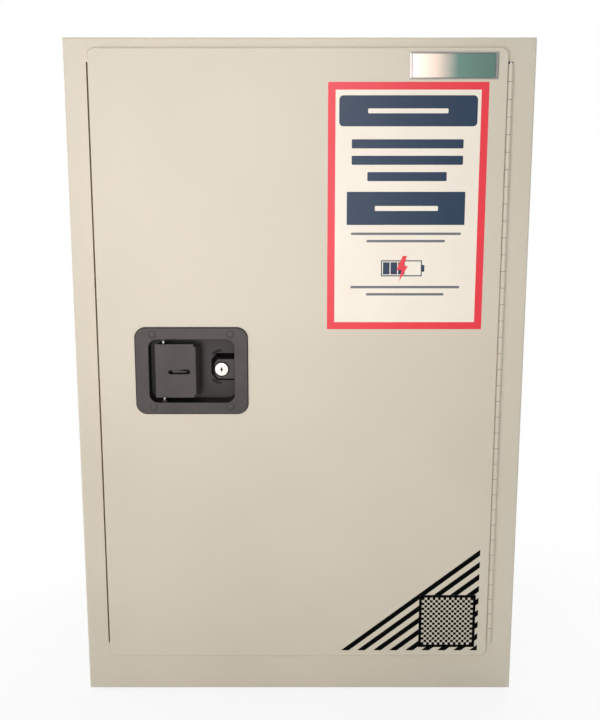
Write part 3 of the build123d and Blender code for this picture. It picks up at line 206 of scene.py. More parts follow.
def brushed_metal(name, colour, roughness=0.3, warm=None, span=None):
    """Sheet or extrusion brushed along X: fine lengthwise hairlines that streak the reflections.

    Given a warm colour, the colour runs from it at the left to the plain colour over the span in X: a painted
    reflection.
    """
    material, tree, shader = start_material(name)
    place = object_space(tree)
    stretched = add_node(tree, "ShaderNodeMapping", {"Scale": (0.02, 1.0, 1.0)}, [(place, "Vector")])
    # hairlines are about 0.1 mm apart, drawn at 0.5 mm so that they show
    lines = add_node(tree, "ShaderNodeTexNoise", {"Scale": per_metre(0.5), "Detail": 4.0},
                     [(stretched.outputs["Vector"], "Vector")])
    if warm:
        # painted reflection: the colour runs from the warm colour across the plate to the plain colour
        along = add_node(tree, "ShaderNodeSeparateXYZ", {}, [(place, "Vector")])
        drift = add_node(tree, "ShaderNodeMapRange", {"From Min": span[0], "From Max": span[1]},
                         [(along.outputs["X"], "Value")])
        ramp = add_node(tree, "ShaderNodeValToRGB", {}, [(drift.outputs["Result"], "Fac")])
        ramp_colours(ramp, [(0.04, warm), (0.3, shade(warm, 0.72)), (0.55, colour), (1.0, shade(colour, 0.9))])
    else:
        ramp = add_node(tree, "ShaderNodeValToRGB", {}, [(lines.outputs["Fac"], "Fac")])
        ramp_colours(ramp, [(0.3, shade(colour, 0.82)), (0.7, shade(colour, 1.12))])
    tree.links.new(ramp.outputs["Color"], shader.inputs["Base Color"])
    gloss = add_node(tree, "ShaderNodeMapRange", {"To Min": roughness - 0.08, "To Max": roughness + 0.12},
                     [(lines.outputs["Fac"], "Value")])
    tree.links.new(gloss.outputs["Result"], shader.inputs["Roughness"])
    bump = add_node(tree, "ShaderNodeBump", {"Strength": 0.2, "Distance": 0.03 * MM},
                    [(lines.outputs["Fac"], "Height")])
    tree.links.new(bump.outputs["Normal"], shader.inputs["Normal"])
    shader.inputs["Metallic"].default_value = 1.0
    return material


def zinc_plated_steel(name, colour, roughness=0.38):
    """Bright zinc on steel: a greyish metal with a cloudy crystalline bloom."""
    material, tree, shader = start_material(name)
    place = object_space(tree)
    bloom = add_node(tree, "ShaderNodeTexVoronoi", {"Scale": per_metre(9)}, [(place, "Vector")])
    cloud = add_node(tree, "ShaderNodeTexNoise", {"Scale": per_metre(14), "Detail": 4.0}, [(place, "Vector")])
    mixed = add_node(tree, "ShaderNodeMath", {"operation": "MULTIPLY"},
                     [(bloom.outputs["Distance"], 0), (cloud.outputs["Fac"], 1)])
    ramp = add_node(tree, "ShaderNodeValToRGB", {}, [(mixed.outputs["Value"], "Fac")])
    ramp_colours(ramp, [(0.05, shade(colour, 0.9)), (0.5, shade(colour, 1.08))])
    tree.links.new(ramp.outputs["Color"], shader.inputs["Base Color"])
    gloss = add_node(tree, "ShaderNodeMapRange", {"To Min": roughness - 0.08, "To Max": roughness + 0.1},
                     [(cloud.outputs["Fac"], "Value")])
    tree.links.new(gloss.outputs["Result"], shader.inputs["Roughness"])
    shader.inputs["Metallic"].default_value = 1.0
    return material


def plated_metal(name, colour, roughness=0.18):
    """Nickel plate or machined brass: smooth bright metal with faint polishing haze."""
    material, tree, shader = start_material(name)
    place = object_space(tree)
    haze = add_node(tree, "ShaderNodeTexNoise", {"Scale": per_metre(3), "Detail": 5.0}, [(place, "Vector")])
    gloss = add_node(tree, "ShaderNodeMapRange", {"To Min": roughness - 0.05, "To Max": roughness + 0.1},
                     [(haze.outputs["Fac"], "Value")])
    tree.links.new(gloss.outputs["Result"], shader.inputs["Roughness"])
    ramp = add_node(tree, "ShaderNodeValToRGB", {}, [(haze.outputs["Fac"], "Fac")])
    ramp_colours(ramp, [(0.3, shade(colour, 0.92)), (0.7, shade(colour, 1.05))])
    tree.links.new(ramp.outputs["Color"], shader.inputs["Base Color"])
    shader.inputs["Metallic"].default_value = 1.0
    return material


def moulded_plastic(name, colour, roughness=0.42, grain=0.8):
    """Injection-moulded plastic with a light spark-eroded grain, grain size in millimetres."""
    material, tree, shader = start_material(name)
    place = object_space(tree)
    texture = add_node(tree, "ShaderNodeTexNoise", {"Scale": per_metre(grain), "Detail": 3.0}, [(place, "Vector")])
    tone = add_node(tree, "ShaderNodeTexNoise", {"Scale": per_metre(45), "Detail": 2.0}, [(place, "Vector")])
    ramp = add_node(tree, "ShaderNodeValToRGB", {}, [(tone.outputs["Fac"], "Fac")])
    ramp_colours(ramp, [(0.3, shade(colour, 0.94)), (0.7, shade(colour, 1.05))])
    tree.links.new(ramp.outputs["Color"], shader.inputs["Base Color"])
    bump = add_node(tree, "ShaderNodeBump", {"Strength": 0.2, "Distance": 0.05 * MM},
                    [(texture.outputs["Fac"], "Height")])
    tree.links.new(bump.outputs["Normal"], shader.inputs["Normal"])
    gloss = add_node(tree, "ShaderNodeMapRange", {"To Min": roughness - 0.05, "To Max": roughness + 0.08},
                     [(tone.outputs["Fac"], "Value")])
    tree.links.new(gloss.outputs["Result"], shader.inputs["Roughness"])
    shader.inputs["IOR"].default_value = 1.49
    return material


def moulded_rubber(name, colour):
    """Extruded EPDM or expanding graphite strip: matt, slightly dusty black."""
    material, tree, shader = start_material(name)
    place = object_space(tree)
    dust = add_node(tree, "ShaderNodeTexNoise", {"Scale": per_metre(6), "Detail": 5.0}, [(place, "Vector")])
    ramp = add_node(tree, "ShaderNodeValToRGB", {}, [(dust.outputs["Fac"], "Fac")])
    ramp_colours(ramp, [(0.4, colour), (0.8, shade(colour, 1.7))])
    tree.links.new(ramp.outputs["Color"], shader.inputs["Base Color"])
    bump = add_node(tree, "ShaderNodeBump", {"Strength": 0.3, "Distance": 0.1 * MM},
                    [(dust.outputs["Fac"], "Height")])
    tree.links.new(bump.outputs["Normal"], shader.inputs["Normal"])
    shader.inputs["Roughness"].default_value = 0.8
    return material


def fibre_board(name, colour):
    """Pressed mineral-fibre insulation board: matt and chalky with short felted fibres."""
    material, tree, shader = start_material(name)
    place = object_space(tree)
    fibres = add_node(tree, "ShaderNodeTexNoise", {"Scale": per_metre(2), "Detail": 6.0, "Distortion": 1.5},
                      [(place, "Vector")])
    ramp = add_node(tree, "ShaderNodeValToRGB", {}, [(fibres.outputs["Fac"], "Fac")])
    ramp_colours(ramp, [(0.3, shade(colour, 0.8)), (0.7, shade(colour, 1.05))])
    tree.links.new(ramp.outputs["Color"], shader.inputs["Base Color"])
    bump = add_node(tree, "ShaderNodeBump", {"Strength": 0.6, "Distance": 0.3 * MM},
                    [(fibres.outputs["Fac"], "Height")])
    tree.links.new(bump.outputs["Normal"], shader.inputs["Normal"])
    shader.inputs["Roughness"].default_value = 0.9
    return material


def printed_vinyl(name, colour, sheen=0.5):
    """Screen-printed adhesive vinyl under a clear film: flat colour, faint waviness, more or less sheen."""
    material, tree, shader = start_material(name)
    place = object_space(tree)
    waves = add_node(tree, "ShaderNodeTexNoise", {"Scale": per_metre(60), "Detail": 2.0}, [(place, "Vector")])
    ramp = add_node(tree, "ShaderNodeValToRGB", {}, [(waves.outputs["Fac"], "Fac")])
    ramp_colours(ramp, [(0.3, shade(colour, 0.97)), (0.7, shade(colour, 1.03))])
    tree.links.new(ramp.outputs["Color"], shader.inputs["Base Color"])
    bump = add_node(tree, "ShaderNodeBump", {"Strength": 0.25, "Distance": 0.4 * MM},
                    [(waves.outputs["Fac"], "Height")])
    tree.links.new(bump.outputs["Normal"], shader.inputs["Normal"])
    shader.inputs["Roughness"].default_value = 0.3
    shader.inputs["IOR"].default_value = 1.45
    shader.inputs["Specular IOR Level"].default_value = sheen
    return material


def plate_span():
    """Left and right ends of the nameplate."""
    low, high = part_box("nameplate")
    return low.x, high.x


_made = {}


def finish(name):
    """The material for a finish of this cabinet, made on first use from the panel's colours."""
    if name not in _made:
        colours = bpy.context.scene.cabinet_colours
        makers = {
            "cream_powder_coat": lambda: powder_coated_steel("Powder-coated steel, cream", colours.coat),
            "liner_paint": lambda: powder_coated_steel("Powder-coated steel, liner", colours.liner, 0.42),
            "latch_coating": lambda: electrocoated_steel("Electrocoated steel, charcoal", colours.latch),
            "insulation_board": lambda: fibre_board("Mineral-fibre board", linear("#CFC9BC")),
            "zinc_steel": lambda: zinc_plated_steel("Zinc-plated steel", linear("#C4C6C8")),
            "blind_rivet": lambda: plated_metal("Aluminium, domed rivet", linear("#C9C9C7"), 0.3),
            "gasket_rubber": lambda: moulded_rubber("Moulded rubber, gasket", linear("#1B1A1B")),
            "intumescent_seal": lambda: moulded_rubber("Expanding graphite strip", linear("#35332F")),
            "lock_nickel": lambda: plated_metal("Nickel-plated zinc, lock", linear("#D9D5CA"), 0.2),
            "slot_core": lambda: electrocoated_steel("Electrocoated steel, worn", linear("#4C4744")),
            "lock_ring": lambda: electrocoated_steel("Electrocoated steel, lock ring", linear("#1F1D1D")),
            # painted shade for the gaps between the hinge's knuckles
            "joint_shade": lambda: moulded_rubber("Dark paint, painted joint shade", linear("#5A5246")),
            "marking_white": lambda: printed_vinyl("Pad-printed ink, white", linear("#EFEFEA"), 0.3),
            "spring_steel": lambda: plated_metal("Bright steel wire", linear("#B9B9B7"), 0.25),
            # the nameplate's warm left end and its green-grey body are a painted reflection
            "plate_steel": lambda: brushed_metal("Brushed stainless, nameplate, painted reflection", linear("#5A756D"), 0.3,
                                                 linear("#DFCDBF"), plate_span()),
            "rim_steel": lambda: brushed_metal("Brushed stainless, rim", linear("#8E8D8C"), 0.28),
            "rail_aluminium": lambda: brushed_metal("Anodised aluminium, extruded", linear("#B4B7B9"), 0.38),
            "outlet_plastic": lambda: moulded_plastic("Moulded polycarbonate, white", linear("#E6E6E1"), 0.3),
            "switch_plastic": lambda: moulded_plastic("Moulded nylon, red", linear("#B3170F"), 0.3),
            "duct_plastic": lambda: moulded_plastic("Extruded PVC, grey", linear("#B7B9B7"), 0.45),
            "black_plastic": lambda: moulded_plastic("Moulded nylon, black", linear("#232326"), 0.45),
            "intumescent_block": lambda: fibre_board("Intumescent honeycomb block", linear("#5B5752")),
            "brass": lambda: plated_metal("Machined brass", linear("#C9A86A"), 0.22),
            "glide_rubber": lambda: moulded_rubber("Moulded rubber, glide", linear("#29292A")),
            "sign_red": lambda: printed_vinyl("Printed vinyl, red", colours.sign_red),
            "sign_navy": lambda: printed_vinyl("Printed vinyl, navy", colours.sign_navy, 0.4),
            "sign_cream": lambda: printed_vinyl("Printed vinyl, cream", linear("#FFF2DF")),
            "sign_ink": lambda: printed_vinyl("Printed vinyl, grey", linear("#6E7076")),
            "tile_grey": lambda: printed_vinyl("Printed vinyl, warm grey", linear("#D3CBB8"), 0.15),
            "stripe_black": lambda: printed_vinyl("Cut vinyl, black", colours.stripe, 0.03),
        }
        _made[name] = makers[name]()
    return _made[name]


# ------------------------------------------------------------------ mesh helpers
def build(name, bm, material, body, smooth_angle=35.0):
    """Turns a bmesh into a finished piece that rides on a body."""
    bmesh.ops.remove_doubles(bm, verts=bm.verts, dist=1e-7)
    bmesh.ops.recalc_face_normals(bm, faces=bm.faces)
    mesh = bpy.data.meshes.new(name)
    bm.to_mesh(mesh)
    bm.free()
    piece = bpy.data.objects.new(name, mesh)
    bpy.context.scene.collection.objects.link(piece)
    mesh.materials.append(finish(material))
    mesh.shade_smooth()
    mesh.set_sharp_from_angle(angle=math.radians(smooth_angle))
    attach(piece, body)
    return piece


def ring_of(bm, points):
    """Vertices at these points."""
    return [bm.verts.new(p) for p in points]


def bridge(bm, first, second):
    """Quads between two closed rings of the same length."""
    count = len(first)
    for i in range(count):
        bm.faces.new((first[i], first[(i + 1) % count], second[(i + 1) % count], second[i]))


def slab(bm, outline, y_back, y_front, edge=0.0):
    """A flat plate of that (x, z) outline between two depths, its front edge broken by a small bevel."""
    middle_x = sum(p[0] for p in outline) / len(outline)
    middle_z = sum(p[1] for p in outline) / len(outline)
    half_x = max(abs(p[0] - middle_x) for p in outline)
    half_z = max(abs(p[1] - middle_z) for p in outline)
    back = ring_of(bm, [(x, y_back, z) for x, z in outline])
    shoulder = ring_of(bm, [(x, y_front + edge, z) for x, z in outline])
    bridge(bm, back, shoulder)
    front = shoulder
    if edge:
        draw_x, draw_z = 1 - edge / half_x, 1 - edge / half_z
        front = ring_of(bm, [(middle_x + (x - middle_x) * draw_x, y_front, middle_z + (z - middle_z) * draw_z)
                             for x, z in outline])
        bridge(bm, shoulder, front)
    bm.faces.new(back)
    bm.faces.new(front)


def rounded_rectangle(x0, x1, z0, z1, radius, steps=6):
    """The outline of a rectangle with round corners, counter-clockwise seen from -Y."""
    points = []
    for cx, cz, start in ((x1 - radius, z0 + radius, -90), (x1 - radius, z1 - radius, 0),
                          (x0 + radius, z1 - radius, 90), (x0 + radius, z0 + radius, 180)):
        for i in range(steps + 1):
            angle = math.radians(start + 90 * i / steps)
            points.append((cx + radius * math.cos(angle), cz + radius * math.sin(angle)))
    return points


def ellipse(cx, cz, half_x, half_z, steps=48):
    """The outline of an ellipse."""
    return [
        (cx + half_x * math.cos(2 * math.pi * i / steps), cz + half_z * math.sin(2 * math.pi * i / steps))
        for i in range(steps)
    ]


def rings_about(bm, profile, centre, axis, steps):
    """Rings of (radius, distance along axis, sides) about an axis; sides 0 is round, 6 is a hexagon."""
    axis = Vector(axis).normalized()
    across = axis.orthogonal().normalized()
    other = axis.cross(across)
    rings = []
    for radius, along, sides in profile:
        points = []
        for i in range(steps):
            angle = 2 * math.pi * i / steps
            reach = radius
            if sides:
                part = math.pi / sides
                reach = radius * math.cos(part) / math.cos(angle % (2 * part) - part)
            points.append(Vector(centre) + axis * along
                          + (across * math.cos(angle) + other * math.sin(angle)) * reach)
        rings.append(ring_of(bm, points))
    return rings


def lathe(bm, profile, centre, axis, steps=32):
    """A closed turned form of (radius, distance along axis) or (radius, distance, sides) rings."""
    rings = rings_about(bm, [(*point, 0)[:3] for point in profile], centre, axis, steps)
    for first, second in zip(rings, rings[1:]):
        bridge(bm, first, second)
    bm.faces.new(rings[0])
    bm.faces.new(rings[-1])


def button_screw(bm, centre, axis, radius, height):
    """The head of a button screw with its hexagon socket, seated on a face."""
    lathe(bm, [
        (radius, 0), (radius, height * 0.3), (radius * 0.92, height * 0.62), (radius * 0.74, height * 0.9),
        (radius * 0.56, height), (radius * 0.46, height, 6), (radius * 0.44, height * 0.25, 6),
    ], centre, axis, 24)


# ------------------------------------------------------------------ settings
class CabinetColours(bpy.types.PropertyGroup):
    """Colours that give the cabinet its look."""

    coat: colour_property("Outside coat", "Powder coat of the body and door", "#DCD1BB")
    liner: colour_property("Liner coat", "Powder coat of the inside", "#E6E1D4")
    latch: colour_property("Latch coat", "Electrocoat of the paddle latch", "#4A4442")
    sign_red: colour_property("Panel red", "Border of the printed panel", "#F43542")
    sign_navy: colour_property("Panel navy", "Bars of the printed panel", "#12314B")
    stripe: colour_property("Stripe black", "Cut vinyl stripes", "#050505")


class SignSettings(bpy.types.PropertyGroup):
    """Printed panel at the door's upper right."""

    left: length_property("Left edge", "From the cabinet's middle to the panel's left edge", 35.5 * MM)
    bottom: length_property("Bottom edge", "Height of the panel's lower edge above the floor", 521.5 * MM)
    width: length_property("Width", "Width of the panel", 201.0 * MM)
    height: length_property("Height", "Height of the panel", 314.4 * MM)
    border: length_property("Border", "Width of the red border", 9.5 * MM)


class StripeSettings(bpy.types.PropertyGroup):
    """Diagonal stripes in the door's lower right corner."""

    left: length_property("Left point", "From the cabinet's middle to the first stripe's lower end", 57.3 * MM)
    right: length_property("Right edge", "From the cabinet's middle to the stripes' right edge", 246.3 * MM)
    bottom: length_property("Bottom edge", "Height of the stripes' lower edge above the floor", 65.2 * MM)
    pitch: length_property("Pitch", "Spacing of the stripes along their lower edge", 22.3 * MM)
    band: length_property("Stripe width", "Width of a stripe along the lower edge", 10.8 * MM)
    slope: bpy.props.FloatProperty(
        name="Slope", description="Angle of the stripes above the floor", subtype="ANGLE", unit="ROTATION",
        default=math.radians(38.3)
    )
    tile: length_property("Tile side", "Side of the square tile over the stripes", 77.8 * MM)


# ------------------------------------------------------------------ pieces
class CABINET_OT_finishes(bpy.types.Operator):
    """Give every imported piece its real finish"""

    bl_idname = "cabinet.finishes"
    bl_label = "Finish Packed Pieces"

    def execute(self, context):
        for entry in frame["record"]["subparts"]:
            node = NODES[entry["node"]]
            for index in range(len(node.material_slots)):
                node.material_slots[index].material = finish(entry["material_slot"])
        return {"FINISHED"}


class CABINET_OT_sign(bpy.types.Operator):
    """Add the printed panel: a border, plain bars and a battery pictogram"""

    bl_idname = "cabinet.sign"
    bl_label = "Add Printed Panel"

    def execute(self, context):
        size = context.scene.cabinet_sign
        face = DOOR_LOW.y
        x0, z0 = size.left, size.bottom
        x1, z1 = x0 + size.width, z0 + size.height

        def layer(name, outlines, level, material):
            bm = bmesh.new()
            for outline in outlines:
                slab(bm, outline, face - FILM * level, face - FILM * (level + 1))
            return build(name, bm, material, "door")

        def across(share):
            return x0 + size.width * share

        def up(share):
            return z0 + size.height * share

        def bar(left, right, low, high, radius=0.8 * MM):
            return rounded_rectangle(across(left), across(right), up(low), up(high), radius, 3)

        def centred(share, low, high):
            return bar(0.5 - share / 2, 0.5 + share / 2, low, high, 1.2 * MM)

        layer("sign_border", [rounded_rectangle(x0, x1, z0, z1, 1.5 * MM)], 0, "sign_red")
        inset = size.border
        field = rounded_rectangle(x0 + inset, x1 - inset, z0 + inset, z1 - inset, 0.5 * MM)
        layer("sign_field", [field], 1, "sign_cream")

        # (width, lower edge) as shares of the panel
        bars = ((0.7, 0.74), (0.7, 0.675), (0.5, 0.61))
        lines = ((0.7, 0.392), (0.5, 0.362), (0.7, 0.172), (0.5, 0.142))
        bands = [bar(0.070, 0.932, 0.827, 0.948, 5 * MM), bar(0.122, 0.871, 0.433, 0.567)]
        layer("sign_bars", bands + [centred(share, low, low + 0.036) for share, low in bars], 2, "sign_navy")
        layer("sign_titles", [centred(0.5, 0.878, 0.897), centred(0.4, 0.490, 0.510)], 3, "sign_cream")
        layer("sign_lines", [centred(share, low, low + 0.010) for share, low in lines], 2, "sign_ink")
        self.battery(layer, across, up)
        return {"FINISHED"}

    def battery(self, layer, across, up):
        """An outlined cell with charge bars and a terminal, and a bolt over it."""
        left, right, low, high = across(0.345), across(0.607), up(0.222), up(0.288)
        wall, gap = 1.3 * MM, 1.2 * MM
        bars, full = 3, 5  # charge bars drawn, and how many would fill the cell
        walls = [
            rounded_rectangle(left, left + wall, low, high, 0.3 * MM, 2),
            rounded_rectangle(right - wall, right, low, high, 0.3 * MM, 2),
            rounded_rectangle(right, right + 3.2 * MM, low + 6 * MM, high - 6 * MM, 0.5 * MM, 2),
        ]
        rails = [
            rounded_rectangle(left, right, low, low + wall, 0.3 * MM, 2),
            rounded_rectangle(left, right, high - wall, high, 0.3 * MM, 2),
        ]
        inner = right - left - 2 * wall - gap
        charge = [
            rounded_rectangle(left + wall + gap + inner * i / full, left + wall + inner * (i + 1) / full,
                              low + wall + gap, high - wall - gap, 0.4 * MM, 2)
            for i in range(bars)
        ]
        layer("sign_cell", walls, 2, "sign_navy")
        layer("sign_cell_rails", rails, 3, "sign_navy")
        layer("sign_charge", charge, 2, "sign_navy")
        x, z = across(0.475), (low + high) / 2
        bolt = [(-6, -1.8), (1.6, 16), (7, 16), (3.2, 3), (8.5, 3), (-2.6, -17), (0.4, -1.8)]
        layer("sign_bolt", [[(x + dx * MM, z + dz * MM) for dx, dz in bolt]], 4, "sign_red")


class CABINET_OT_stripes(bpy.types.Operator):
    """Add the cut-vinyl stripes and the lattice tile in the door's lower corner"""

    bl_idname = "cabinet.stripes"
    bl_label = "Add Corner Stripes"

    def execute(self, context):
        size = context.scene.cabinet_stripes
        face = DOOR_LOW.y
        rise = math.tan(size.slope)
        bm = bmesh.new()
        start = size.left
        while start < size.right - 2 * MM:
            near, far = start, min(start + size.band, size.right)
            top = size.bottom + (size.right - near) * rise
            low = size.bottom + (size.right - far) * rise
            outline = [(near, size.bottom), (far, size.bottom), (size.right, low), (size.right, top)]
            if far == size.right:
                outline = [(near, size.bottom), (far, size.bottom), (size.right, top)]
            slab(bm, outline, face, face - FILM)
            start += size.pitch
        build("corner_stripes", bm, "stripe_black", "door")

        # the tile stands in from the stripes' right edge and up from their lower one
        right, low = size.right - 3.9 * MM, size.bottom + 5.0 * MM
        left, high = right - size.tile, low + size.tile
        bm = bmesh.new()
        slab(bm, rounded_rectangle(left, right, low, high, 0.3 * MM, 3), face - FILM, face - 2 * FILM)
        build("tile_ground", bm, "tile_grey", "door")

        # a closed border with a plain chequer inside it
        bm = bmesh.new()
        cells = 21
        cell = size.tile / cells
        for row in range(cells):
            for column in range(cells):
                on_edge = row in (0, cells - 1) or column in (0, cells - 1)
                if not on_edge and (row + column) % 2:
                    continue
                x, z = left + column * cell, low + row * cell
                square = [(x, z), (x + cell, z), (x + cell, z + cell), (x, z + cell)]
                slab(bm, square, face - 2 * FILM, face - 3 * FILM)
        build("tile_lattice", bm, "stripe_black", "door")
        return {"FINISHED"}


class CABINET_OT_nameplate(bpy.types.Operator):
    """Add the bare nameplate with its raised rim"""

    bl_idname = "cabinet.nameplate"
    bl_label = "Add Nameplate"

    def execute(self, context):
        low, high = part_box("nameplate")
        bm = bmesh.new()
        slab(bm, rounded_rectangle(low.x, high.x, low.z, high.z, 0.8 * MM, 4), high.y, low.y + 0.9 * MM, 0.4 * MM)
        field = build("nameplate_field", bm, "plate_steel", "door")
        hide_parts("nameplate")
        # the rim is a little wider at the ends, and bowed in along them
        bm = bmesh.new()
        rim, end = 2.2 * MM, 4.2 * MM
        outer = rounded_rectangle(low.x, high.x, low.z, high.z, 0.8 * MM, 6)
        inner = rounded_rectangle(low.x + end, high.x - end, low.z + rim, high.z - rim, 1.6 * MM, 6)
        edge, shelf = 0.6 * MM, 0.7 * MM
        crest = rounded_rectangle(low.x + edge, high.x - edge, low.z + edge, high.z - edge, 0.6 * MM, 6)
        slope = rounded_rectangle(low.x + end - shelf, high.x - end + shelf,
                                  low.z + rim - edge, high.z - rim + edge, 1.8 * MM, 6)
        crown = 0.35 * MM
        levels = [
            (outer, low.y + 1.0 * MM), (outer, low.y + crown), (crest, low.y), (slope, low.y),
            (inner, low.y + 1.0 * MM),
        ]
        rings = [ring_of(bm, [(x, y, z) for x, z in outline]) for outline, y in levels]
        for first, second in zip(rings, rings[1:] + rings[:1]):
            bridge(bm, first, second)
        build("nameplate_rim", bm, "rim_steel", "door")
        return {"FINISHED"}


class CABINET_OT_latch(bpy.types.Operator):
    """Dress the paddle latch: domed rivets, the plate behind the paddle's slot and the lock's ring"""

    bl_idname = "cabinet.latch"
    bl_label = "Dress Latch"

    def execute(self, context):
        low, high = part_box("latch_rivets")
        head = 5.0 * MM
        bm = bmesh.new()
        for x in (low.x + head, high.x - head):
            for z in (low.z + head, high.z - head):
                lathe(bm, [(r * MM, along * MM) for r, along in (
                    (2.9, -4.9), (3.6, -4.6), (3.6, -3.7), (2.3, -3.7), (2.3, 0.0), (5.0, 0.0), (4.96, 0.25),
                    (4.6, 0.6), (3.8, 0.9), (2.6, 1.1), (1.2, 1.19), (0.6, 1.2),
                )], (x, TRAY_LOW.y, z), (0, -1, 0))
        rivets = build("latch_rivet_domes", bm, "latch_coating", "door")
        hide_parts("latch_rivets")

        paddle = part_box("latch_paddle")[0]
        x, z = paddle.x + 31.6 * MM, LATCH.z - 1.2 * MM
        face = TRAY_LOW.y + 1.5 * MM
        bm = bmesh.new()
        slab(bm, rounded_rectangle(x - 9.5 * MM, x + 9.5 * MM, z - 1.3 * MM, z + 1.3 * MM, 1.2 * MM, 8),
             face + 2.6 * MM, face + 1.0 * MM, 0.4 * MM)
        build("paddle_slot_core", bm, "slot_core", "paddle")

        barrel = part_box("lock_barrel")
        centre = (barrel[0] + barrel[1]) / 2
        bm = bmesh.new()
        rings = rings_about(bm, [
            ((9.5 + 0.7 * math.cos(a)) * MM, (0.7 * math.sin(a)) * MM, 0)
            for a in (math.radians(30 * i) for i in range(12))
        ], (centre.x, barrel[0].y + 1.2 * MM, centre.z), (0, -1, 0), 48)
        for first, second in zip(rings, rings[1:] + rings[:1]):
            bridge(bm, first, second)
        build("lock_ring", bm, "lock_ring", "door")

        # dark pads between the tray's floor and the lock's cam, behind the boss's reliefs: painted shade that keeps
        # the cam from showing through them
        bm = bmesh.new()
        for side in (-1, 1):
            slab(bm, rounded_rectangle(centre.x - 17.5 * MM, centre.x + 3.5 * MM, *sorted(
                (LATCH.z + side * 14.2 * MM, LATCH.z + side * 26.0 * MM)), 2 * MM, 4),
                TRAY_HIGH.y + 1.6 * MM, TRAY_HIGH.y + 0.05 * MM)
        build("relief_shade_pads", bm, "gasket_rubber", "door")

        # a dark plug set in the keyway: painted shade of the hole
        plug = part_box("lock_plug")[0]
        bm = bmesh.new()
        slab(bm, rounded_rectangle(centre.x - 0.72 * MM, centre.x + 0.72 * MM, centre.z - 3.1 * MM,
                                   centre.z + 3.1 * MM, 0.7 * MM, 6), plug.y + 1.6 * MM, plug.y + 0.3 * MM)
        slab(bm, ellipse(centre.x, centre.z, 1.62 * MM, 1.62 * MM, 32), plug.y + 1.7 * MM, plug.y + 0.25 * MM)
        build("keyway_shade_plug", bm, "lock_ring", "lock")
        return {"FINISHED"}


class CABINET_OT_screws(bpy.types.Operator):
    """Add the button screws of the louvres, fan, rails, standards, hinge and strike"""

    bl_idname = "cabinet.screws"
    bl_label = "Add Screws"

    def execute(self, context):
        def screws(name, body, places, axis, radius, height):
            bm = bmesh.new()
            for place in places:
                button_screw(bm, place, axis, radius * MM, height * MM)
            build(name, bm, "zinc_steel", body)

        places = []
        for louvre in ("exhaust_louvre", "intake_louvre"):
            low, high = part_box(louvre)
            places += [(x, low.y + 1.5 * MM, z) for x in (low.x + 7 * MM, high.x - 7 * MM)
                       for z in (low.z + 7 * MM, high.z - 7 * MM)]
        screws("louvre_screws", "cabinet", places, (0, 1, 0), 3.2, 2.0)

        low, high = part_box("fan_frame")
        centre = (low + high) / 2
        screws("fan_screws", "cabinet", [
            (centre.x + sx * 52.5 * MM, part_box("fan_guard")[0].y, centre.z + sz * 52.5 * MM)
            for sx in (-1, 1) for sz in (-1, 1)
        ], (0, -1, 0), 3.4, 2.0)

        places = []
        for rail in ("lower_power_rail", "upper_power_rail"):
            low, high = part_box(rail)
            places += [(x, low.y, (low.z + high.z) / 2) for x in (low.x + 7 * MM, high.x - 9 * MM)]
        screws("rail_screws", "cabinet", places, (0, -1, 0), 2.6, 1.4)

        low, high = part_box("shelf_standards")
        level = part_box("lower_shelf")[1].z - 1.2 * MM
        heights = [level + 26 * MM * n for n in range(-6, 20, 5)]
        for side, name in ((-1, "left_standard_screws"), (1, "right_standard_screws")):
            screws(name, "cabinet", [
                (side * (high.x - 8 * MM), y, z) for y in (low.y + 12.5 * MM, high.y - 12.5 * MM)
                for z in heights if low.z + 6 * MM < z < high.z - 6 * MM
            ], (-side, 0, 0), 3.0, 1.6)

        low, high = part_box("hinge_pin")
        y = FRAME_LOW.y + 18 * MM
        heights = [low.z + (high.z - low.z) * (n + 0.5) / 8 for n in range(8)]
        screws("hinge_door_screws", "door",
               [(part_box("hinge_door_leaf")[0].x + 1.4 * MM, y, z) for z in heights], (1, 0, 0), 3.0, 1.0)
        screws("hinge_frame_screws", "cabinet",
               [(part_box("hinge_frame_leaf")[1].x - 1.4 * MM, y, z) for z in heights], (-1, 0, 0), 3.0, 1.0)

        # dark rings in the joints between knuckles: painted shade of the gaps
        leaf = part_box("hinge_door_leaf")
        pitch = (leaf[1].z - leaf[0].z) / KNUCKLES
        inside, outside, half = 1.6 * MM, 3.1 * MM, 0.24 * MM
        bm = bmesh.new()
        for n in range(1, KNUCKLES):
            joint = ((low.x + high.x) / 2, (low.y + high.y) / 2, leaf[0].z + pitch * n)
            rings = rings_about(bm, [(inside, -half, 0), (outside, -half, 0), (outside, half, 0), (inside, half, 0)],
                                joint, (0, 0, 1), 24)
            for first, second in zip(rings, rings[1:] + rings[:1]):
                bridge(bm, first, second)
        build("hinge_joint_shade", bm, "joint_shade", "cabinet")

        low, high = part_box("latch_bolt")
        screws("strike_screws", "cabinet", [
            (DOOR_LOW.x - 3 * MM, (low.y + high.y) / 2, (low.z + high.z) / 2 + dz * MM) for dz in (-15.5, 15.5)
        ], (1, 0, 0), 2.6, 0.9)
        return {"FINISHED"}


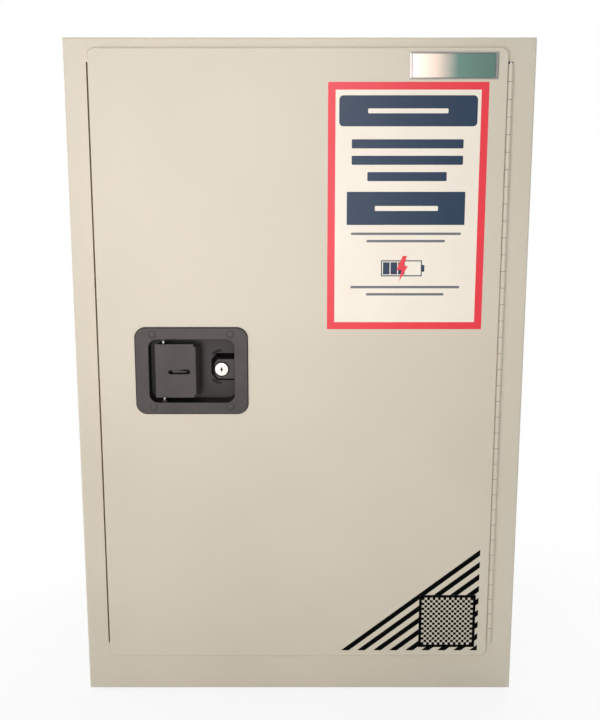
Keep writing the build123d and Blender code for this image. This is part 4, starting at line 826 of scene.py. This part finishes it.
class CABINET_OT_controls(bpy.types.Operator):
    """Mark the rail switches and the thermostat's scale"""

    bl_idname = "cabinet.controls"
    bl_label = "Mark Controls"

    def execute(self, context):
        def printed(bm, outline, origin, up, normal, hole=None):
            """An outline, or the band between two, printed on a plane through origin that holds X."""
            def ring(points, level):
                return ring_of(bm, [origin + Vector((u, 0, 0)) + up * v + normal * level for u, v in points])
            outer = ring(outline, 0), ring(outline, FILM)
            bridge(bm, *outer)
            if hole:
                inner = ring(hole, 0), ring(hole, FILM)
                bridge(bm, *inner)
                bridge(bm, outer[1], inner[1])
                bridge(bm, outer[0], inner[0])
            else:
                bm.faces.new(outer[0])
                bm.faces.new(outer[1])

        for name in ("lower", "upper"):
            low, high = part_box(f"{name}_power_rail")
            pivot = Vector((low.x + 24 * MM, low.y + 3 * MM, (low.z + high.z) / 2))
            bm = bmesh.new()
            printed(bm, rounded_rectangle(-0.5 * MM, 0.5 * MM, -2.2 * MM, 2.2 * MM, 0.3 * MM, 3),
                    pivot + Vector((0, -4.955, 3.90)) * MM, Vector((0, -0.3366, 0.9417)),
                    Vector((0, -0.9417, -0.3366)))
            printed(bm, ellipse(0, 0, 2.3 * MM, 2.3 * MM, 32), pivot + Vector((0, -3.32, -5.36)) * MM,
                    Vector((0, 0.006, -1)), Vector((0, -1, -0.006)), ellipse(0, 0, 1.5 * MM, 1.5 * MM, 32))
            build(f"{name}_switch_marks", bm, "marking_white", f"{name}_switch")

        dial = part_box("thermostat_dial")
        centre = (dial[0] + dial[1]) / 2
        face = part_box("thermostat")[0].y
        bm = bmesh.new()
        for step in range(10):
            angle = math.radians(225 - 30 * step)
            out = Vector((math.cos(angle), 0, math.sin(angle)))
            side = Vector((-out.z, 0, out.x)) * (0.35 if step % 3 else 0.55) * MM
            near, far = out * 14.2 * MM, out * (16.6 if step % 3 else 17.6) * MM
            corners = [centre + v for v in (near - side, far - side, far + side, near + side)]
            slab(bm, [(v.x, v.z) for v in corners], face, face - FILM)
        build("thermostat_scale", bm, "sign_ink", "cabinet")
        return {"FINISHED"}


class CABINET_OT_entries(bpy.types.Operator):
    """Add the grips of the cable gland's cap and the thread of the earth stud"""

    bl_idname = "cabinet.entries"
    bl_label = "Dress Back Entries"

    def execute(self, context):
        low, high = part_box("cable_gland")
        centre = (low + high) / 2
        bm = bmesh.new()
        count, bore = 96, 9.0 * MM
        rings = []
        # (millimetres along the cap, millimetres that the grips stand out)
        for level, lift in ((9.2, -0.3), (9.6, 0.35), (19.5, 0.35), (20.0, -0.3)):
            cone = 12.0 - (level - 8.0) * math.tan(math.radians(8))
            radii = [cone + (lift if i % 4 in (1, 2) else -0.3) for i in range(count)]
            rings.append(ring_of(bm, [
                (centre.x + r * MM * math.cos(2 * math.pi * i / count), high.y - (22 - level) * MM,
                 centre.z + r * MM * math.sin(2 * math.pi * i / count)) for i, r in enumerate(radii)
            ]))
        for first, second in zip(rings, rings[1:]):
            bridge(bm, first, second)
        core = [ring_of(bm, [
            (centre.x + bore * math.cos(2 * math.pi * i / count), ring[0].co.y,
             centre.z + bore * math.sin(2 * math.pi * i / count)) for i in range(count)
        ]) for ring in (rings[0], rings[-1])]
        bridge(bm, rings[0], core[0])
        bridge(bm, rings[-1], core[1])
        bridge(bm, core[0], core[1])
        build("gland_grips", bm, "black_plastic", "cabinet")

        low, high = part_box("earth_stud")
        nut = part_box("earth_nut")[1].y
        bm = bmesh.new()
        crest, root = 3.28 * MM, 2.95 * MM
        turns = int((high.y - nut) / MM) - 1
        profile = []
        for n in range(turns):
            profile += [(root, n * MM, 0), (crest, (n + 0.5) * MM, 0)]
        profile += [(root, turns * MM, 0), (2.5 * MM, turns * MM, 0), (2.5 * MM, 0, 0)]
        rings = rings_about(bm, profile, ((low.x + high.x) / 2, nut + 0.6 * MM, (low.z + high.z) / 2), (0, 1, 0), 32)
        for first, second in zip(rings, rings[1:] + rings[:1]):
            bridge(bm, first, second)
        build("earth_stud_thread", bm, "brass", "cabinet")
        return {"FINISHED"}


# ------------------------------------------------------------------ stage
def backdrop_rays(tree):
    """1 for rays that show the backdrop: straight to the eye, or by way of gloss or glass."""
    rays = add_node(tree, "ShaderNodeLightPath", {})
    direct = add_node(tree, "ShaderNodeMath", {"operation": "MAXIMUM"},
                      [(rays.outputs["Is Camera Ray"], 0), (rays.outputs["Is Transmission Ray"], 1)])
    either = add_node(tree, "ShaderNodeMath", {"operation": "MAXIMUM"},
                      [(direct.outputs["Value"], 0), (rays.outputs["Is Glossy Ray"], 1)])
    return either.outputs["Value"]


class CABINET_OT_stage(bpy.types.Operator):
    """Add the floor, soft lights and the camera"""

    bl_idname = "cabinet.stage"
    bl_label = "Add Stage"

    def execute(self, context):
        self.floor()
        self.world(context.scene)
        self.lights()
        self.camera(context.scene)
        context.scene.view_settings.view_transform = "Standard"
        return {"FINISHED"}

    def floor(self):
        """A pale floor that takes the cabinet's shadow and runs out into plain white."""
        material = bpy.data.materials.new("Pale studio floor")
        material.use_nodes = True
        tree = material.node_tree
        tree.nodes.clear()
        plain = add_node(tree, "ShaderNodeBsdfDiffuse", {"Color": linear("#F4F3F1")})
        glow = add_node(tree, "ShaderNodeEmission", {"Color": (1, 1, 1, 1), "Strength": 1.0})
        away = add_node(tree, "ShaderNodeVectorMath", {"operation": "LENGTH"}, [(object_space(tree), 0)])
        share = add_node(tree, "ShaderNodeMapRange", {
            "From Min": 0.35, "From Max": 1.0, "To Min": 0.86, "To Max": 1.0, "interpolation_type": "SMOOTHSTEP"
        }, [(away.outputs["Value"], "Value")])
        seen = add_node(tree, "ShaderNodeMath", {"operation": "MULTIPLY"},
                        [(share.outputs["Result"], 0), (backdrop_rays(tree), 1)])
        mixed = add_node(tree, "ShaderNodeMixShader", {},
                         [(seen.outputs["Value"], 0), (plain.outputs["BSDF"], 1), (glow.outputs["Emission"], 2)])
        add_node(tree, "ShaderNodeOutputMaterial", {}, [(mixed.outputs["Shader"], "Surface")])
        bm = bmesh.new()
        bmesh.ops.create_grid(bm, x_segments=1, y_segments=1, size=6.0)
        mesh = bpy.data.meshes.new("floor")
        bm.to_mesh(mesh)
        bm.free()
        mesh.materials.append(material)
        floor = bpy.data.objects.new("floor", mesh)
        bpy.context.scene.collection.objects.link(floor)

    def world(self, scene):
        """Soft light from all round, in front of a plain white backdrop."""
        world = bpy.data.worlds.new("Soft studio")
        scene.world = world
        world.use_nodes = True
        tree = world.node_tree
        tree.nodes.clear()
        soft = add_node(tree, "ShaderNodeBackground", {"Color": linear("#E2F1FF"), "Strength": 0.4})
        white = add_node(tree, "ShaderNodeBackground", {"Color": (1, 1, 1, 1), "Strength": 1.0})
        mixed = add_node(tree, "ShaderNodeMixShader", {},
                         [(backdrop_rays(tree), 0), (soft.outputs["Background"], 1),
                          (white.outputs["Background"], 2)])
        add_node(tree, "ShaderNodeOutputWorld", {}, [(mixed.outputs["Shader"], "Surface")])

    def lights(self):
        """A broad key ahead and a little to the left, and fills for the left side, the top and the back."""
        for name, place, aim, power, size, spread, colour in (
            ("key", (-0.3, -1.4, 0.74), (-0.1, -0.24, 0.62), 3.4, 1.0, 95, "#FFF7F6"),
            ("left", (-2.0, 0.35, 1.0), (-0.3, 0.05, 0.5), 8.0, 1.2, 120, "#FFFFFF"),
            ("over", (0, 0.5, 2.3), (0, 0.05, 0.9), 8.0, 1.0, 120, "#FFFFFF"),
            ("rear", (1.5, 2.2, 1.6), (0, 0.1, 0.45), 40.0, 1.6, 180, "#FFFFFF"),
        ):
            lamp = bpy.data.lights.new(name, "AREA")
            lamp.energy = power
            lamp.size = size
            lamp.spread = math.radians(spread)
            lamp.color = linear(colour)[:3]
            light = bpy.data.objects.new(name, lamp)
            bpy.context.scene.collection.objects.link(light)
            light.location = place
            light.rotation_euler = (Vector(aim) - Vector(place)).to_track_quat("-Z", "Y").to_euler()

    def camera(self, scene):
        """Eye level near the top of the door, looking a little down."""
        lens = bpy.data.cameras.new("camera")
        lens.sensor_width = 36.0
        lens.lens = 60.13
        camera = bpy.data.objects.new("camera", lens)
        scene.collection.objects.link(camera)
        camera.location = (0.45 * MM, FRAME_LOW.y - 1543.2 * MM, 842.5 * MM)
        camera.rotation_euler = (math.radians(90 - 13.27), 0, 0)
        scene.camera = camera


class CABINET_PT_panel(bpy.types.Panel):
    """Sidebar panel with the cabinet's sizes, colours and pieces"""

    bl_label = "Battery Cabinet"
    bl_idname = "CABINET_PT_panel"
    bl_space_type = "VIEW_3D"
    bl_region_type = "UI"
    bl_category = "Cabinet"

    def draw(self, context):
        layout = self.layout
        for group in ("cabinet_colours", "cabinet_sign", "cabinet_stripes"):
            settings = getattr(context.scene, group)
            box = layout.box()
            for key in settings.__annotations__:
                box.prop(settings, key)
        for operator in OPERATORS:
            layout.operator(operator.bl_idname)


GROUPS = {"cabinet_colours": CabinetColours, "cabinet_sign": SignSettings, "cabinet_stripes": StripeSettings}
OPERATORS = (CABINET_OT_finishes, CABINET_OT_sign, CABINET_OT_stripes, CABINET_OT_nameplate, CABINET_OT_latch,
             CABINET_OT_screws, CABINET_OT_controls, CABINET_OT_entries, CABINET_OT_stage)
CLASSES = tuple(GROUPS.values()) + OPERATORS + (CABINET_PT_panel,)


def register():
    for item in CLASSES:
        bpy.utils.register_class(item)
    for name, group in GROUPS.items():
        setattr(bpy.types.Scene, name, bpy.props.PointerProperty(type=group))


def unregister():
    for name in GROUPS:
        delattr(bpy.types.Scene, name)
    for item in reversed(CLASSES):
        bpy.utils.unregister_class(item)


def main():
    register()
    for operator in OPERATORS:
        group, action = operator.bl_idname.split(".")
        getattr(getattr(bpy.ops, group), action)()


if __name__ == "__main__":
    main()
